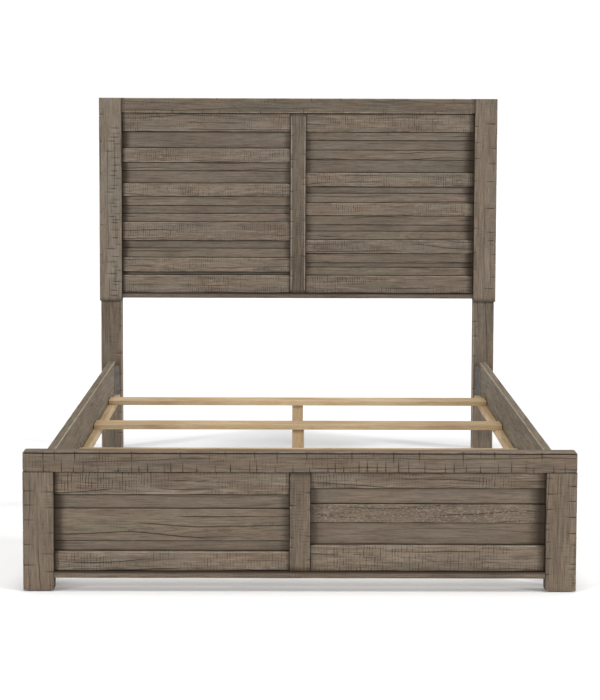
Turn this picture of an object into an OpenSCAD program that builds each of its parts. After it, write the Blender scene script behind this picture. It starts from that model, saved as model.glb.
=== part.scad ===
// Panel bed frame for one standard mattress: a framed and boarded headboard and footboard,
// two hook-on side rails, and four slats that stand on centre legs with levelling feet.
// +X is the right-hand side seen from the foot, +Y points to the head, +Z is up.
// The origin is on the floor under the middle of the bed.

/* [Overall] */
// Width over the posts and legs
bed_w = 1700; // [1360:5:2100]
// Length from the footboard's front face to the headboard's back face
bed_l = 2184; // [1800:2:2640]
// Height of the headboard's top above the floor
headboard_h = 1520; // [1200:5:1830]
// Height of the footboard's top above the floor
footboard_h = 435; // [355:1:530]

/* [Footboard] */
// Thickness of the footboard's frame
foot_t = 50; // [46:1:62]
// Width of a footboard leg
foot_leg_w = 94; // [76:1:114]
// Height of the footboard's top rail
foot_rail_h = 63; // [50:1:78]
// Height of the footboard's bottom rail
foot_sill_h = 19; // [15:1:24]
// Height of the bottom rail's underside above the floor
foot_sill_z = 42; // [30:1:60]
// Width of the footboard's middle stile
foot_stile_w = 63; // [50:1:78]

/* [Headboard] */
// Thickness of the headboard's frame
head_t = 63; // [56:1:78]
// Width of a headboard post
post_w = 95; // [78:1:116]
// Height of the headboard's top rail
head_rail_h = 63; // [50:1:78]
// Height of the headboard's bottom rail
head_sill_h = 20; // [16:1:26]
// Height of the posts' lower ends above the floor
post_z = 650; // [520:5:780]
// Height of the bottom rail's underside above the posts' lower ends
head_sill_rise = 13; // [8:1:24]
// Width of the headboard's middle stile
head_stile_w = 63; // [50:1:78]
// Width of a headboard leg
head_leg_w = 90; // [78:1:92]
// How far a headboard leg sits behind the post's front face
head_leg_set = 12; // [6:1:16]
// Length of the lap that joins a leg to its post
lap_l = 220; // [160:5:280]
// Thickness of the lap
lap_t = 25; // [20:1:28]

/* [Panels] */
// Depth of the backing panels behind the frame's face
panel_set = 32; // [28:1:33]
// Thickness of the backing panels
panel_t = 9; // [6:1:11]
// Depth of the stiles' faces behind the frame's face
stile_set = 8; // [4:1:10]
// Depth of the thick boards' faces behind the frame's face
thick_set = 12; // [8:1:15]
// Depth of the medium boards' faces behind the frame's face
medium_set = 18; // [14:1:21]
// Depth of the thin boards' faces behind the frame's face
thin_set = 24; // [20:1:26]
// Joint between two boards
board_gap = 1; // [0.5:0.5:3]

/* [Side rails] */
// Thickness of a side rail
rail_t = 28; // [22:1:34]
// Height of a side rail
rail_h = 180; // [160:5:216]
// How far a rail's top lies below the footboard's top
rail_drop = 47; // [40:1:70]
// How far a rail's outer face lies inside the legs' outer faces
rail_inset = 37; // [32:1:44]
// Width of a cleat
cleat_w = 25; // [20:1:32]
// Height of a cleat
cleat_h = 28; // [22:1:36]
// Height of a cleat's underside above the rail's lower edge
cleat_lift = 14; // [8:1:24]

/* [Slats and centre legs] */
// Width of a slat
slat_w = 89; // [70:1:120]
// Thickness of a slat
slat_t = 19; // [16:1:25]
// Side of a square centre leg
prop_w = 45; // [38:1:60]
// Radius of a levelling foot's stem
stem_r = 4; // [3:0.5:5]
// Travel of a levelling foot each way from its middle
foot_travel = 12; // [6:1:16]

/* [Rail hardware] */
// Height of the hook plates and slotted plates
plate_h = 140; // [130:1:150]
// Width of a hook plate
hook_plate_w = 40; // [32:1:48]
// Thickness of a hook plate
hook_t = 3; // [2.5:0.5:4]
// Width of a slotted plate
slot_plate_w = 30; // [24:1:36]
// Thickness of a slotted plate
slot_plate_t = 2.5; // [2:0.5:3.5]
// Reach of a hook into the leg
hook_reach = 14; // [12:1:18]

/* [Hidden] */
$fn = 32;
wood = "#83796b";
board_wood = "#786e60";
pale_wood = "#c9a97c";
back_wood = "#6d6458";
steel = "#9b9da0";
brass = "#b39a58";
plastic = "#2b2a29";

// Fits
joint_gap = 0.2;    // around a tenon or a lap
tenon_float = 1;    // beyond a tenon's end and a panel's edge
screw_gap = 0.05;   // around a screw's shank
stem_gap = 0.05;    // around a levelling foot's stem, a running fit
board_end = 0.5;    // at each end of a board
slat_gap = 2;       // between a slat's end and the rail

// Joinery
groove = 6;         // depth of the panel grooves
tenon_t = 14;       // thickness of every tenon
tenon_set = 12;     // from the frame's face to a tenon
tenon_l = 26;       // length of a long tenon
tenon_shoulder = 10;
stub_l = 10;        // length of a stile's tenon
sill_shoulder = 3;
ease = 3;           // chamfer on the frame's arrises
board_ease = 2;     // chamfer on the boards' front arrises
slat_ease = 1.5;
lap_lip = 12;       // width of the post left inside the lap
leg_inset = 4;      // from a post's outer face to the leg's

// Fasteners: shank radius, length and head radius of each screw
plate_screw = [2.2, 20, 4.2];
leg_screw = [2.2, 28, 4.2];
cleat_screw = [2.4, 40, 4.6];
slat_screw = [2.4, 38, 4.6];
prop_screw = [2.5, 60, 4.8];
prop_screw_x = 11;
bolt_r = 4;
bolt_l = 35;
bolt_head = [6.5, 5];     // radius, height
bolt_socket = [2.9, 3];
washer = [8.5, 1.6];
bolt_sink = [9.5, 8];
bolt_edge = 60;           // from an end of the lap to its bolt
insert = [6, 15];
bolt_room = 3;            // hole left beyond a bolt's tip

// Glides and levelling feet
glide = [14, 4];          // radius, height
glide_nail = [1.5, 18];
pad = [16, 5];
pad_crown = [8, 3];
foot_hex = [7.5, 4];
foot_room = 2;            // from the hex to the nut at full travel
stem_l = 46;
nut_flange = [10, 1.5];
nut_barrel = [5.2, 11];

// Hooks
hook_h = 16;              // height of a hook's neck
lip_h = 10;               // how far a hook's lip hangs below its neck
lip_gap = 0.5;            // between a lip and the slotted plate
plate_gap = 2;            // from a hook plate's edge to the leg
slot_room = 2;            // spare height in a slot
slot_side = 0.5;          // at each side of a hook in its slot
hook_rise = [-45, 25];    // neck undersides from the plate's middle
leg_screw_rise = [-64, -2, 62];
pocket_t = 8;
pocket_room = 3;
hook_screw_pitch = 38;
hook_screw_edge = 11;

// Places worked out from the sizes above
half_w = bed_w / 2;
foot_y = -bed_l / 2;
foot_back = foot_y + foot_t;
head_y = bed_l / 2 - head_t;
head_back = bed_l / 2;
head_leg_y = head_y + head_leg_set;
foot_in = half_w - foot_leg_w;
post_in = half_w - post_w;
foot_leg_top = footboard_h - foot_rail_h;
foot_sill_top = foot_sill_z + foot_sill_h;
head_sill_z = post_z + head_sill_rise;
head_sill_top = head_sill_z + head_sill_h;
head_rail_z = headboard_h - head_rail_h;
leg_out = half_w - leg_inset;
leg_in = leg_out - head_leg_w;
rail_out = half_w - rail_inset;
rail_in = rail_out - rail_t;
rail_top = footboard_h - rail_drop;
rail_z = rail_top - rail_h;
rail_mid = rail_top - rail_h / 2;
cleat_z = rail_z + cleat_lift;
slat_z = cleat_z + cleat_h;
slat_top = slat_z + slat_t;
cleat_end = plate_gap + hook_plate_w + 6;
rail_l = head_leg_y - foot_back;
slat_n = 4;
slat_pitch = rail_l / slat_n;
foot_hex_top = pad[1] + pad_crown[1] + foot_hex[1];
prop_z = foot_hex_top + foot_travel + foot_room;
hook_x = rail_in - hook_t / 2;

// Boards from the top down: how deep each kind lies, and its height before it is fitted
foot_left = [["thick", 72], ["thin", 45], ["medium", 99], ["thin", 32], ["thick", 61]];
foot_right = [["thick", 51], ["thin", 50], ["medium", 57], ["thin", 68], ["thick", 81]];
head_left = [
    ["thick", 80], ["thin", 71], ["thick", 61], ["medium", 35], ["thin", 54],
    ["thick", 56], ["medium", 39], ["thin", 36], ["medium", 35], ["thick", 79],
    ["thin", 35], ["medium", 39], ["thick", 61], ["thin", 14], ["thick", 78]
];
head_right = [
    ["thick", 80], ["medium", 35], ["thin", 43], ["medium", 39], ["thin", 56], ["thick", 59],
    ["thin", 30], ["medium", 40], ["thick", 54], ["medium", 39], ["thin", 29], ["medium", 36],
    ["thick", 58], ["medium", 40], ["thin", 21], ["medium", 34], ["thick", 77]
];
board_n = len(foot_left);

function slat_y(i) = foot_back + (i - 0.5) * slat_pitch;
function board_set(kind) = kind == "thick" ? thick_set : kind == "medium" ? medium_set : thin_set;
function stacked(boards, n) = n == 0 ? 0 : boards[n - 1][1] + stacked(boards, n - 1);

// ---- Shapes that repeat ----

// A block between two values on each axis, grown by g all round
module block(x, y, z, g = 0) {
    translate([x[0] - g, y[0] - g, z[0] - g])
        cube([x[1] - x[0] + 2 * g, y[1] - y[0] + 2 * g, z[1] - z[0] + 2 * g]);
}

// A rectangle with its four corners cut by c
module eased(a, b, c) {
    polygon([[c, 0], [a - c, 0], [a, c], [a, b - c], [a - c, b], [c, b], [0, b - c], [0, c]]);
}

module timber_x(x, y, z, c = ease) {
    translate([x[0], y[0], z[0]])
        rotate([90, 0, 90]) linear_extrude(x[1] - x[0]) eased(y[1] - y[0], z[1] - z[0], c);
}

module timber_y(x, y, z, c = ease) {
    translate([x[0], y[1], z[0]])
        rotate([90, 0, 0]) linear_extrude(y[1] - y[0]) eased(x[1] - x[0], z[1] - z[0], c);
}

module timber_z(x, y, z, c = ease) {
    translate([x[0], y[0], z[0]])
        linear_extrude(z[1] - z[0]) eased(x[1] - x[0], y[1] - y[0], c);
}

// What is drawn on the right-hand side, for side 1 as it is and for side -1 mirrored
module sided(side) {
    mirror([side < 0 ? 1 : 0, 0, 0]) children();
}

module both_sides() {
    for (side = [-1, 1]) sided(side) children();
}

// A corner where a rail meets a leg: the leg's face is at y = 0 and the rail runs along +Y
module each_corner() {
    both_sides() {
        translate([0, foot_back, 0]) children();
        translate([0, head_leg_y, 0]) mirror([0, 1, 0]) children();
    }
}

// A countersunk screw pointing down, its head's top at z = 0
module screw(size, gap = 0) {
    head_h = size[2] - size[0];
    translate([0, 0, -head_h]) cylinder(h = head_h, r1 = size[0], r2 = size[2]);
    translate([0, 0, -size[1] - gap]) cylinder(h = size[1] + gap, r = size[0] + gap);
}

// ---- Joints, drawn with no gap as the tenon and with a gap as its mortise ----

function tenon_y(face) = [face + tenon_set, face + tenon_set + tenon_t];

module head_rail_tenon(g = 0) {
    block([post_in, post_in + tenon_l + (g > 0 ? tenon_float : 0)], tenon_y(head_y),
          [head_rail_z + tenon_shoulder, headboard_h - tenon_shoulder], g);
}

module head_sill_tenon(g = 0) {
    block([post_in, post_in + tenon_l + (g > 0 ? tenon_float : 0)], tenon_y(head_y),
          [head_sill_z + sill_shoulder, head_sill_top - sill_shoulder], g);
}

module foot_sill_tenon(g = 0) {
    block([foot_in, foot_in + tenon_l + (g > 0 ? tenon_float : 0)], tenon_y(foot_y),
          [foot_sill_z + sill_shoulder, foot_sill_top - sill_shoulder], g);
}

module foot_leg_tenon(g = 0) {
    block([foot_in + 2 * tenon_shoulder, half_w - 2 * tenon_shoulder], tenon_y(foot_y),
          [foot_leg_top, foot_leg_top + tenon_l + (g > 0 ? tenon_float : 0)], g);
}

// Both stub tenons of a stile, from z[0] - stub_l to z[1] + stub_l
module stile_tenons(w, face, z, g = 0) {
    float = g > 0 ? tenon_float : 0;
    reach = w / 2 - tenon_shoulder;
    block([-reach, reach], tenon_y(face), [z[0] - stub_l - float, z[1] + stub_l + float], g);
}

// The room that a backing panel needs in the members around it
module panel_room(inner, face, z) {
    edge = groove + tenon_float;
    block([-inner - edge, inner + edge], [face + panel_set, face + panel_set + panel_t + 2 * joint_gap],
          [z[0] - edge, z[1] + edge]);
}

module back_panel(inner, face, z) {
    block([-inner - groove, inner + groove], [face + panel_set, face + panel_set + panel_t],
          [z[0] - groove, z[1] + groove]);
}

head_open = [head_sill_top, head_rail_z];
foot_open = [foot_sill_top, foot_leg_top];

// Board i of a stack, between a post and the middle stile, on the side that side names
module board(boards, i, side, x, z, face) {
    k = (z[1] - z[0]) / stacked(boards, len(boards));
    top = z[1] - k * stacked(boards, i) - board_gap / 2;
    low = z[1] - k * stacked(boards, i + 1) + board_gap / 2;
    front = face + board_set(boards[i][0]);
    back = face + panel_set;
    c = board_ease;
    color(board_wood) sided(side)
        translate([x[0] + board_end, front, low])
            rotate([90, 0, 90]) linear_extrude(x[1] - x[0] - 2 * board_end)
                polygon([[c, 0], [back - front, 0], [back - front, top - low], [c, top - low],
                         [0, top - low - c], [0, c]]);
}

// ---- Headboard ----

module lap(g = 0) {
    block([post_in + lap_lip + joint_gap - g, leg_out], [head_back - lap_t, head_back],
          [post_z, post_z + lap_l], g);
}

module leg_bolt_places() {
    mid = (post_in + lap_lip + leg_out) / 2;
    for (z = [post_z + bolt_edge, post_z + lap_l - bolt_edge])
        translate([mid, head_back, z]) rotate([-90, 0, 0]) children();
}

module headboard_post(side) {
    color(wood) sided(side) difference() {
        timber_z([post_in, half_w], [head_y, head_back], [post_z, headboard_h]);
        head_rail_tenon(joint_gap);
        head_sill_tenon(joint_gap);
        panel_room(post_in, head_y, head_open);
        block([post_in + lap_lip, half_w + 1], [head_back - lap_t - joint_gap, head_back + 1],
              [post_z - 1, post_z + lap_l + joint_gap]);
        leg_bolt_places() leg_bolt_hole();
    }
}

// The insert's seat and the room beyond a bolt's tip, measured in from the headboard's back
module leg_bolt_hole() {
    translate([0, 0, -lap_t - joint_gap - insert[1]]) cylinder(h = insert[1] + 1, r = insert[0]);
    tip = bolt_sink[1] - washer[1] + bolt_l;
    translate([0, 0, -tip - bolt_room]) cylinder(h = tip + bolt_room, r = bolt_r + joint_gap);
}

module headboard_leg(side) {
    color(wood) sided(side) difference() {
        union() {
            timber_z([leg_in, leg_out], [head_leg_y, head_back], [glide[1], post_z]);
            lap();
        }
        leg_bolt_places() {
            translate([0, 0, -bolt_sink[1]]) cylinder(h = bolt_sink[1] + 1, r = bolt_sink[0]);
            translate([0, 0, -lap_t - 1]) cylinder(h = lap_t + 2, r = bolt_r + joint_gap);
        }
        translate([0, head_leg_y, 0]) mirror([0, 1, 0]) plate_cut();
        head_glide_place() glide_hole();
    }
}

module headboard_top_rail() {
    color(wood) difference() {
        union() {
            timber_x([-post_in, post_in], [head_y, head_back], [head_rail_z, headboard_h]);
            both_sides() head_rail_tenon();
        }
        stile_tenons(head_stile_w, head_y, head_open, joint_gap);
        panel_room(post_in, head_y, head_open);
    }
}

module headboard_bottom_rail() {
    color(wood) difference() {
        union() {
            timber_x([-post_in, post_in], [head_y, head_back], [head_sill_z, head_sill_top]);
            both_sides() head_sill_tenon();
        }
        stile_tenons(head_stile_w, head_y, head_open, joint_gap);
        panel_room(post_in, head_y, head_open);
    }
}

module stile(w, face, z) {
    color(wood) {
        timber_z([-w / 2, w / 2], [face + stile_set, face + panel_set], z);
        stile_tenons(w, face, z);
    }
}

module headboard_stile() {
    stile(head_stile_w, head_y, head_open);
}

module headboard_back_panel() {
    color(back_wood) back_panel(post_in, head_y, head_open);
}

module headboard_boards(boards, side, kind) {
    for (i = [0 : len(boards) - 1])
        if (boards[i][0] == kind)
            board(boards, i, side, [head_stile_w / 2, post_in], head_open, head_y);
}

// ---- Footboard ----

module footboard_leg(side) {
    color(wood) sided(side) difference() {
        union() {
            timber_z([foot_in, half_w], [foot_y, foot_back], [glide[1], foot_leg_top]);
            foot_leg_tenon();
        }
        foot_sill_tenon(joint_gap);
        panel_room(foot_in, foot_y, foot_open);
        translate([0, foot_back, 0]) plate_cut();
        foot_glide_place() glide_hole();
    }
}

module footboard_top_rail() {
    color(wood) difference() {
        timber_x([-half_w, half_w], [foot_y, foot_back], [foot_leg_top, footboard_h]);
        both_sides() foot_leg_tenon(joint_gap);
        stile_tenons(foot_stile_w, foot_y, foot_open, joint_gap);
        panel_room(foot_in, foot_y, foot_open);
    }
}

module footboard_bottom_rail() {
    color(wood) difference() {
        union() {
            timber_x([-foot_in, foot_in], [foot_y, foot_back], [foot_sill_z, foot_sill_top]);
            both_sides() foot_sill_tenon();
        }
        stile_tenons(foot_stile_w, foot_y, foot_open, joint_gap);
        panel_room(foot_in, foot_y, foot_open);
    }
}

module footboard_stile() {
    stile(foot_stile_w, foot_y, foot_open);
}

module footboard_back_panel() {
    color(back_wood) back_panel(foot_in, foot_y, foot_open);
}

module footboard_board(boards, side, i) {
    board(boards, i - 1, side, [foot_stile_w / 2, foot_in], foot_open, foot_y);
}

// ---- Side rails and slats ----

module cleat_screw_places() {
    for (i = [1 : slat_n], step = [-1, 1])
        translate([rail_in - cleat_w, slat_y(i) + step * slat_pitch / 4, cleat_z + cleat_h / 2])
            rotate([0, -90, 0]) children();
}

module slat_screw_places() {
    for (i = [1 : slat_n]) translate([rail_in - cleat_w / 2, slat_y(i), slat_top]) children();
}

module prop_screw_places(i) {
    for (x = [-prop_screw_x, prop_screw_x]) translate([x, slat_y(i), slat_top]) children();
}

module side_rail(side) {
    color(wood) sided(side) difference() {
        timber_y([rail_in, rail_out], [foot_back, head_leg_y], [rail_z, rail_top]);
        cleat_screw_places() screw(cleat_screw, screw_gap);
        translate([0, foot_back, 0]) hook_screw_places() screw(plate_screw, screw_gap);
        translate([0, head_leg_y, 0]) mirror([0, 1, 0])
            hook_screw_places() screw(plate_screw, screw_gap);
    }
}

module cleat(side) {
    color(pale_wood) sided(side) difference() {
        timber_y([rail_in - cleat_w, rail_in], [foot_back + cleat_end, head_leg_y - cleat_end],
                 [cleat_z, slat_z], slat_ease);
        cleat_screw_places() screw(cleat_screw, screw_gap);
        slat_screw_places() screw(slat_screw, screw_gap);
    }
}

module slat(i) {
    reach = rail_in - slat_gap;
    color(pale_wood) difference() {
        timber_x([-reach, reach], [slat_y(i) - slat_w / 2, slat_y(i) + slat_w / 2],
                 [slat_z, slat_top], slat_ease);
        both_sides() slat_screw_places() screw(slat_screw, screw_gap);
        prop_screw_places(i) screw(prop_screw, screw_gap);
    }
}

module support_leg(i) {
    color(pale_wood) difference() {
        timber_z([-prop_w / 2, prop_w / 2], [slat_y(i) - prop_w / 2, slat_y(i) + prop_w / 2],
                 [prop_z, slat_z], slat_ease);
        prop_screw_places(i) screw(prop_screw, screw_gap);
        translate([0, slat_y(i), 0]) {
            translate([0, 0, prop_z - 1]) cylinder(h = nut_flange[1] + 1, r = nut_flange[0]);
            translate([0, 0, prop_z]) cylinder(h = nut_flange[1] + nut_barrel[1], r = nut_barrel[0]);
            cylinder(h = foot_hex_top + stem_l + foot_travel + foot_room, r = stem_r + 2 * joint_gap);
        }
    }
}

module levelling_foot(i) {
    color(plastic) translate([0, slat_y(i), 0]) {
        cylinder(h = pad[1], r = pad[0]);
        translate([0, 0, pad[1]]) cylinder(h = pad_crown[1], r1 = pad[0], r2 = pad_crown[0]);
        translate([0, 0, pad[1] + pad_crown[1]]) cylinder(h = foot_hex[1], r = foot_hex[0], $fn = 6);
        translate([0, 0, foot_hex_top]) cylinder(h = stem_l, r = stem_r);
    }
}

module levelling_nuts() {
    color(steel) for (i = [1 : slat_n]) translate([0, slat_y(i), prop_z]) difference() {
        union() {
            cylinder(h = nut_flange[1], r = nut_flange[0]);
            cylinder(h = nut_flange[1] + nut_barrel[1], r = nut_barrel[0]);
        }
        translate([0, 0, -1]) cylinder(h = nut_flange[1] + nut_barrel[1] + 2, r = stem_r + stem_gap);
    }
}

// ---- Hooks and slotted plates, drawn for one corner ----

module hook_screw_places() {
    for (i = [0 : 3])
        translate([rail_in - hook_t,
                   plate_gap + (i % 2 == 0 ? hook_plate_w - hook_screw_edge : hook_screw_edge),
                   rail_mid + (i - 1.5) * hook_screw_pitch])
            rotate([0, -90, 0]) children();
}

module leg_screw_places() {
    for (rise = leg_screw_rise)
        translate([hook_x, 0, rail_mid + rise]) rotate([-90, 0, 0]) children();
}

module hook_plate() {
    translate([rail_in - hook_t, 0, 0]) rotate([90, 0, 90]) linear_extrude(hook_t) {
        translate([plate_gap, rail_mid - plate_h / 2]) square([hook_plate_w, plate_h]);
        for (rise = hook_rise) translate([0, rail_mid + rise]) polygon([
            [plate_gap, 0], [-slot_plate_t - lip_gap, 0], [-slot_plate_t - lip_gap, -lip_h],
            [-hook_reach + lip_gap, -lip_h], [-hook_reach, 0], [-hook_reach, hook_h - lip_gap],
            [-hook_reach + lip_gap, hook_h], [plate_gap, hook_h]
        ]);
    }
}

module hook_plates() {
    color(steel) each_corner() difference() {
        hook_plate();
        hook_screw_places() screw(plate_screw, screw_gap);
    }
}

module slotted_plate_blank(depth) {
    block([hook_x - slot_plate_w / 2, hook_x + slot_plate_w / 2], [-slot_plate_t, depth],
          [rail_mid - plate_h / 2, rail_mid + plate_h / 2]);
}

module slotted_plates() {
    slot_x = hook_t / 2 + slot_side;
    color(steel) each_corner() difference() {
        slotted_plate_blank(0);
        for (rise = hook_rise)
            block([hook_x - slot_x, hook_x + slot_x], [-slot_plate_t - 1, 1],
                  [rail_mid + rise, rail_mid + rise + hook_h + lip_h + slot_room]);
        leg_screw_places() screw(leg_screw, screw_gap);
    }
}

// What a slotted plate needs in its leg: the seat, a pocket behind each slot and the screw holes
module plate_cut() {
    slotted_plate_blank(1);
    for (rise = hook_rise)
        block([hook_x - pocket_t / 2, hook_x + pocket_t / 2], [-hook_reach - pocket_room, 0],
              [rail_mid + rise - lip_h - pocket_room,
               rail_mid + rise + hook_h + lip_h + slot_room]);
    leg_screw_places() screw(leg_screw, screw_gap);
}

// ---- Fasteners and glides ----

module hook_plate_screws() {
    color(steel) each_corner() hook_screw_places() screw(plate_screw);
}

module slotted_plate_screws() {
    color(steel) each_corner() leg_screw_places() screw(leg_screw);
}

module cleat_screws() {
    color(steel) both_sides() cleat_screw_places() screw(cleat_screw);
}

module slat_screws() {
    color(steel) both_sides() slat_screw_places() screw(slat_screw);
}

module support_leg_screws() {
    color(steel) for (i = [1 : slat_n]) prop_screw_places(i) screw(prop_screw);
}

module leg_bolts() {
    seat = washer[1] - bolt_sink[1];
    color(steel) both_sides() leg_bolt_places() difference() {
        union() {
            translate([0, 0, seat]) cylinder(h = bolt_head[1], r = bolt_head[0]);
            translate([0, 0, seat - bolt_l]) cylinder(h = bolt_l, r = bolt_r);
        }
        translate([0, 0, seat + bolt_head[1] - bolt_socket[1]])
            cylinder(h = bolt_socket[1] + 1, r = bolt_socket[0], $fn = 6);
    }
}

module leg_washers() {
    color(steel) both_sides() leg_bolt_places() translate([0, 0, -bolt_sink[1]]) difference() {
        cylinder(h = washer[1], r = washer[0]);
        translate([0, 0, -1]) cylinder(h = washer[1] + 2, r = bolt_r + joint_gap);
    }
}

module leg_inserts() {
    color(brass) both_sides() leg_bolt_places()
        translate([0, 0, -lap_t - joint_gap - insert[1]]) difference() {
            cylinder(h = insert[1], r = insert[0]);
            translate([0, 0, -1]) cylinder(h = insert[1] + 2, r = bolt_r + screw_gap);
        }
}

module head_glide_place() {
    translate([(leg_in + leg_out) / 2, (head_leg_y + head_back) / 2, 0]) children();
}

module foot_glide_place() {
    translate([(foot_in + half_w) / 2, (foot_y + foot_back) / 2, 0]) children();
}

module glide_hole() {
    translate([0, 0, glide[1] - 1])
        cylinder(h = glide_nail[1] + 1 + screw_gap, r = glide_nail[0] + screw_gap);
}

module one_glide() {
    cylinder(h = glide[1], r = glide[0]);
    translate([0, 0, glide[1]]) cylinder(h = glide_nail[1], r = glide_nail[0]);
}

module corner_glides() {
    color(plastic) both_sides() {
        head_glide_place() one_glide();
        foot_glide_place() one_glide();
    }
}

// ---- What each name draws ----

headboard_post(-1);  // headboard_post_left
headboard_post(1);  // headboard_post_right
headboard_leg(-1);  // headboard_leg_left
headboard_leg(1);  // headboard_leg_right
headboard_top_rail();
headboard_bottom_rail();
headboard_stile();
headboard_back_panel();
footboard_leg(-1);  // footboard_leg_left
footboard_leg(1);  // footboard_leg_right
footboard_top_rail();
footboard_bottom_rail();
footboard_stile();
footboard_back_panel();
side_rail(-1);  // side_rail_left
side_rail(1);  // side_rail_right
cleat(-1);  // cleat_left
cleat(1);  // cleat_right
for (kind = ["thick", "medium", "thin"]) {
    headboard_boards(head_left, -1, kind);
    headboard_boards(head_right, 1, kind);
}
for (i = [1 : board_n]) {
    footboard_board(foot_left, -1, i);
    footboard_board(foot_right, 1, i);
}
for (i = [1 : slat_n]) {
    slat(i);
    support_leg(i);
    levelling_foot(i);
}
hook_plates();
slotted_plates();
hook_plate_screws();
slotted_plate_screws();
cleat_screws();
slat_screws();
support_leg_screws();
leg_bolts();
leg_washers();
leg_inserts();
levelling_nuts();
corner_glides();
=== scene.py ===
"""Looks of a rustic panel bed frame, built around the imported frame.

Every wooden piece is modelled again with worn arrises, hand-worked faces and the shallow saw nicks
of a distressed finish. The hardware gets softened edges and drive recesses.
"""

import logging
import math
import random
from dataclasses import dataclass, field
from enum import Enum
from typing import Iterable, Optional, Sequence, Union

import bmesh
import bpy
import numpy as np
from mathutils import Matrix, Vector, noise


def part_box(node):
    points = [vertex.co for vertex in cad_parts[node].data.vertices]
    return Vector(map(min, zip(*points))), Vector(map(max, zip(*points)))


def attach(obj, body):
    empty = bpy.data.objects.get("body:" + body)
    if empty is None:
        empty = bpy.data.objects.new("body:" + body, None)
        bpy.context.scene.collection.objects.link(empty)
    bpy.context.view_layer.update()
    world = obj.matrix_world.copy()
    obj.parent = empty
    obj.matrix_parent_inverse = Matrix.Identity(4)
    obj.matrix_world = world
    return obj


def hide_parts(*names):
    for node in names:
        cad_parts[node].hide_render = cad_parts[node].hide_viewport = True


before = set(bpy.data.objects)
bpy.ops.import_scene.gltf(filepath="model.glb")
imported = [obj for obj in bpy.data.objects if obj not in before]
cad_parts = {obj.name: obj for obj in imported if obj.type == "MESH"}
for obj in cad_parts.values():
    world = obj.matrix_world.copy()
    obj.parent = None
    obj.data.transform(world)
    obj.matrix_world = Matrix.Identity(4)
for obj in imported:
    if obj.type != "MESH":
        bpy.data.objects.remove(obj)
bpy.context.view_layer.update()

LOG = logging.getLogger("bed_frame")
MM = 0.001
BODY = "bed_frame"
HANDS = (("left", -1), ("right", 1))   # the two halves of the bed, with the sign of their X
MIX_A, MIX_B = 6, 7     # a colour Mix node's inputs
WAVE_PERIOD = 0.314     # metres between a wave texture's crests at a scale of 1
WELD = 0.005 * MM       # how close two points of a CAD mesh are when they are one
BEYOND = 1.0            # metres that a cutter runs past the wood, on its open sides

Feed = Union[bpy.types.Node, bpy.types.NodeSocket]
Colour = tuple[float, float, float, float]


# ---------------------------------------------------------------- finishes


def linear(hex_colour: str) -> Colour:
    """Turns an sRGB hex colour into the linear colour that a shader takes.

    Args:
        hex_colour: six hex digits after a hash sign.

    Returns:
        Red, green, blue and an alpha of 1.
    """
    parts = [int(hex_colour[i : i + 2], 16) / 255 for i in (1, 3, 5)]
    return (*(c / 12.92 if c <= 0.04045 else ((c + 0.055) / 1.055) ** 2.4 for c in parts), 1.0)


def add(tree: bpy.types.NodeTree, kind: str, links: Optional[dict] = None,
        **settings) -> bpy.types.Node:
    """Adds a node with its settings, input values and links.

    Args:
        tree: the node tree that gets the node.
        kind: the node's type, without its ShaderNode prefix.
        links: input name or number to a value, or to the socket or node that feeds it. A node
            feeds it by its first output in use.
        settings: the node's own properties.

    Returns:
        The new node.
    """
    node = tree.nodes.new("ShaderNode" + kind)
    for key, value in settings.items():
        setattr(node, key, value)
    for key, value in (links or {}).items():
        if isinstance(value, bpy.types.Node):
            value = next(output for output in value.outputs if output.enabled)
        if isinstance(value, bpy.types.NodeSocket):
            tree.links.new(value, node.inputs[key])
        else:
            node.inputs[key].default_value = value
    return node


@dataclass(frozen=True)
class Fade:
    """A value that is taken smoothly from the span low..high to the span start..end."""

    value: Feed
    low: float
    high: float
    start: float = 0.0
    end: float = 1.0


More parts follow.
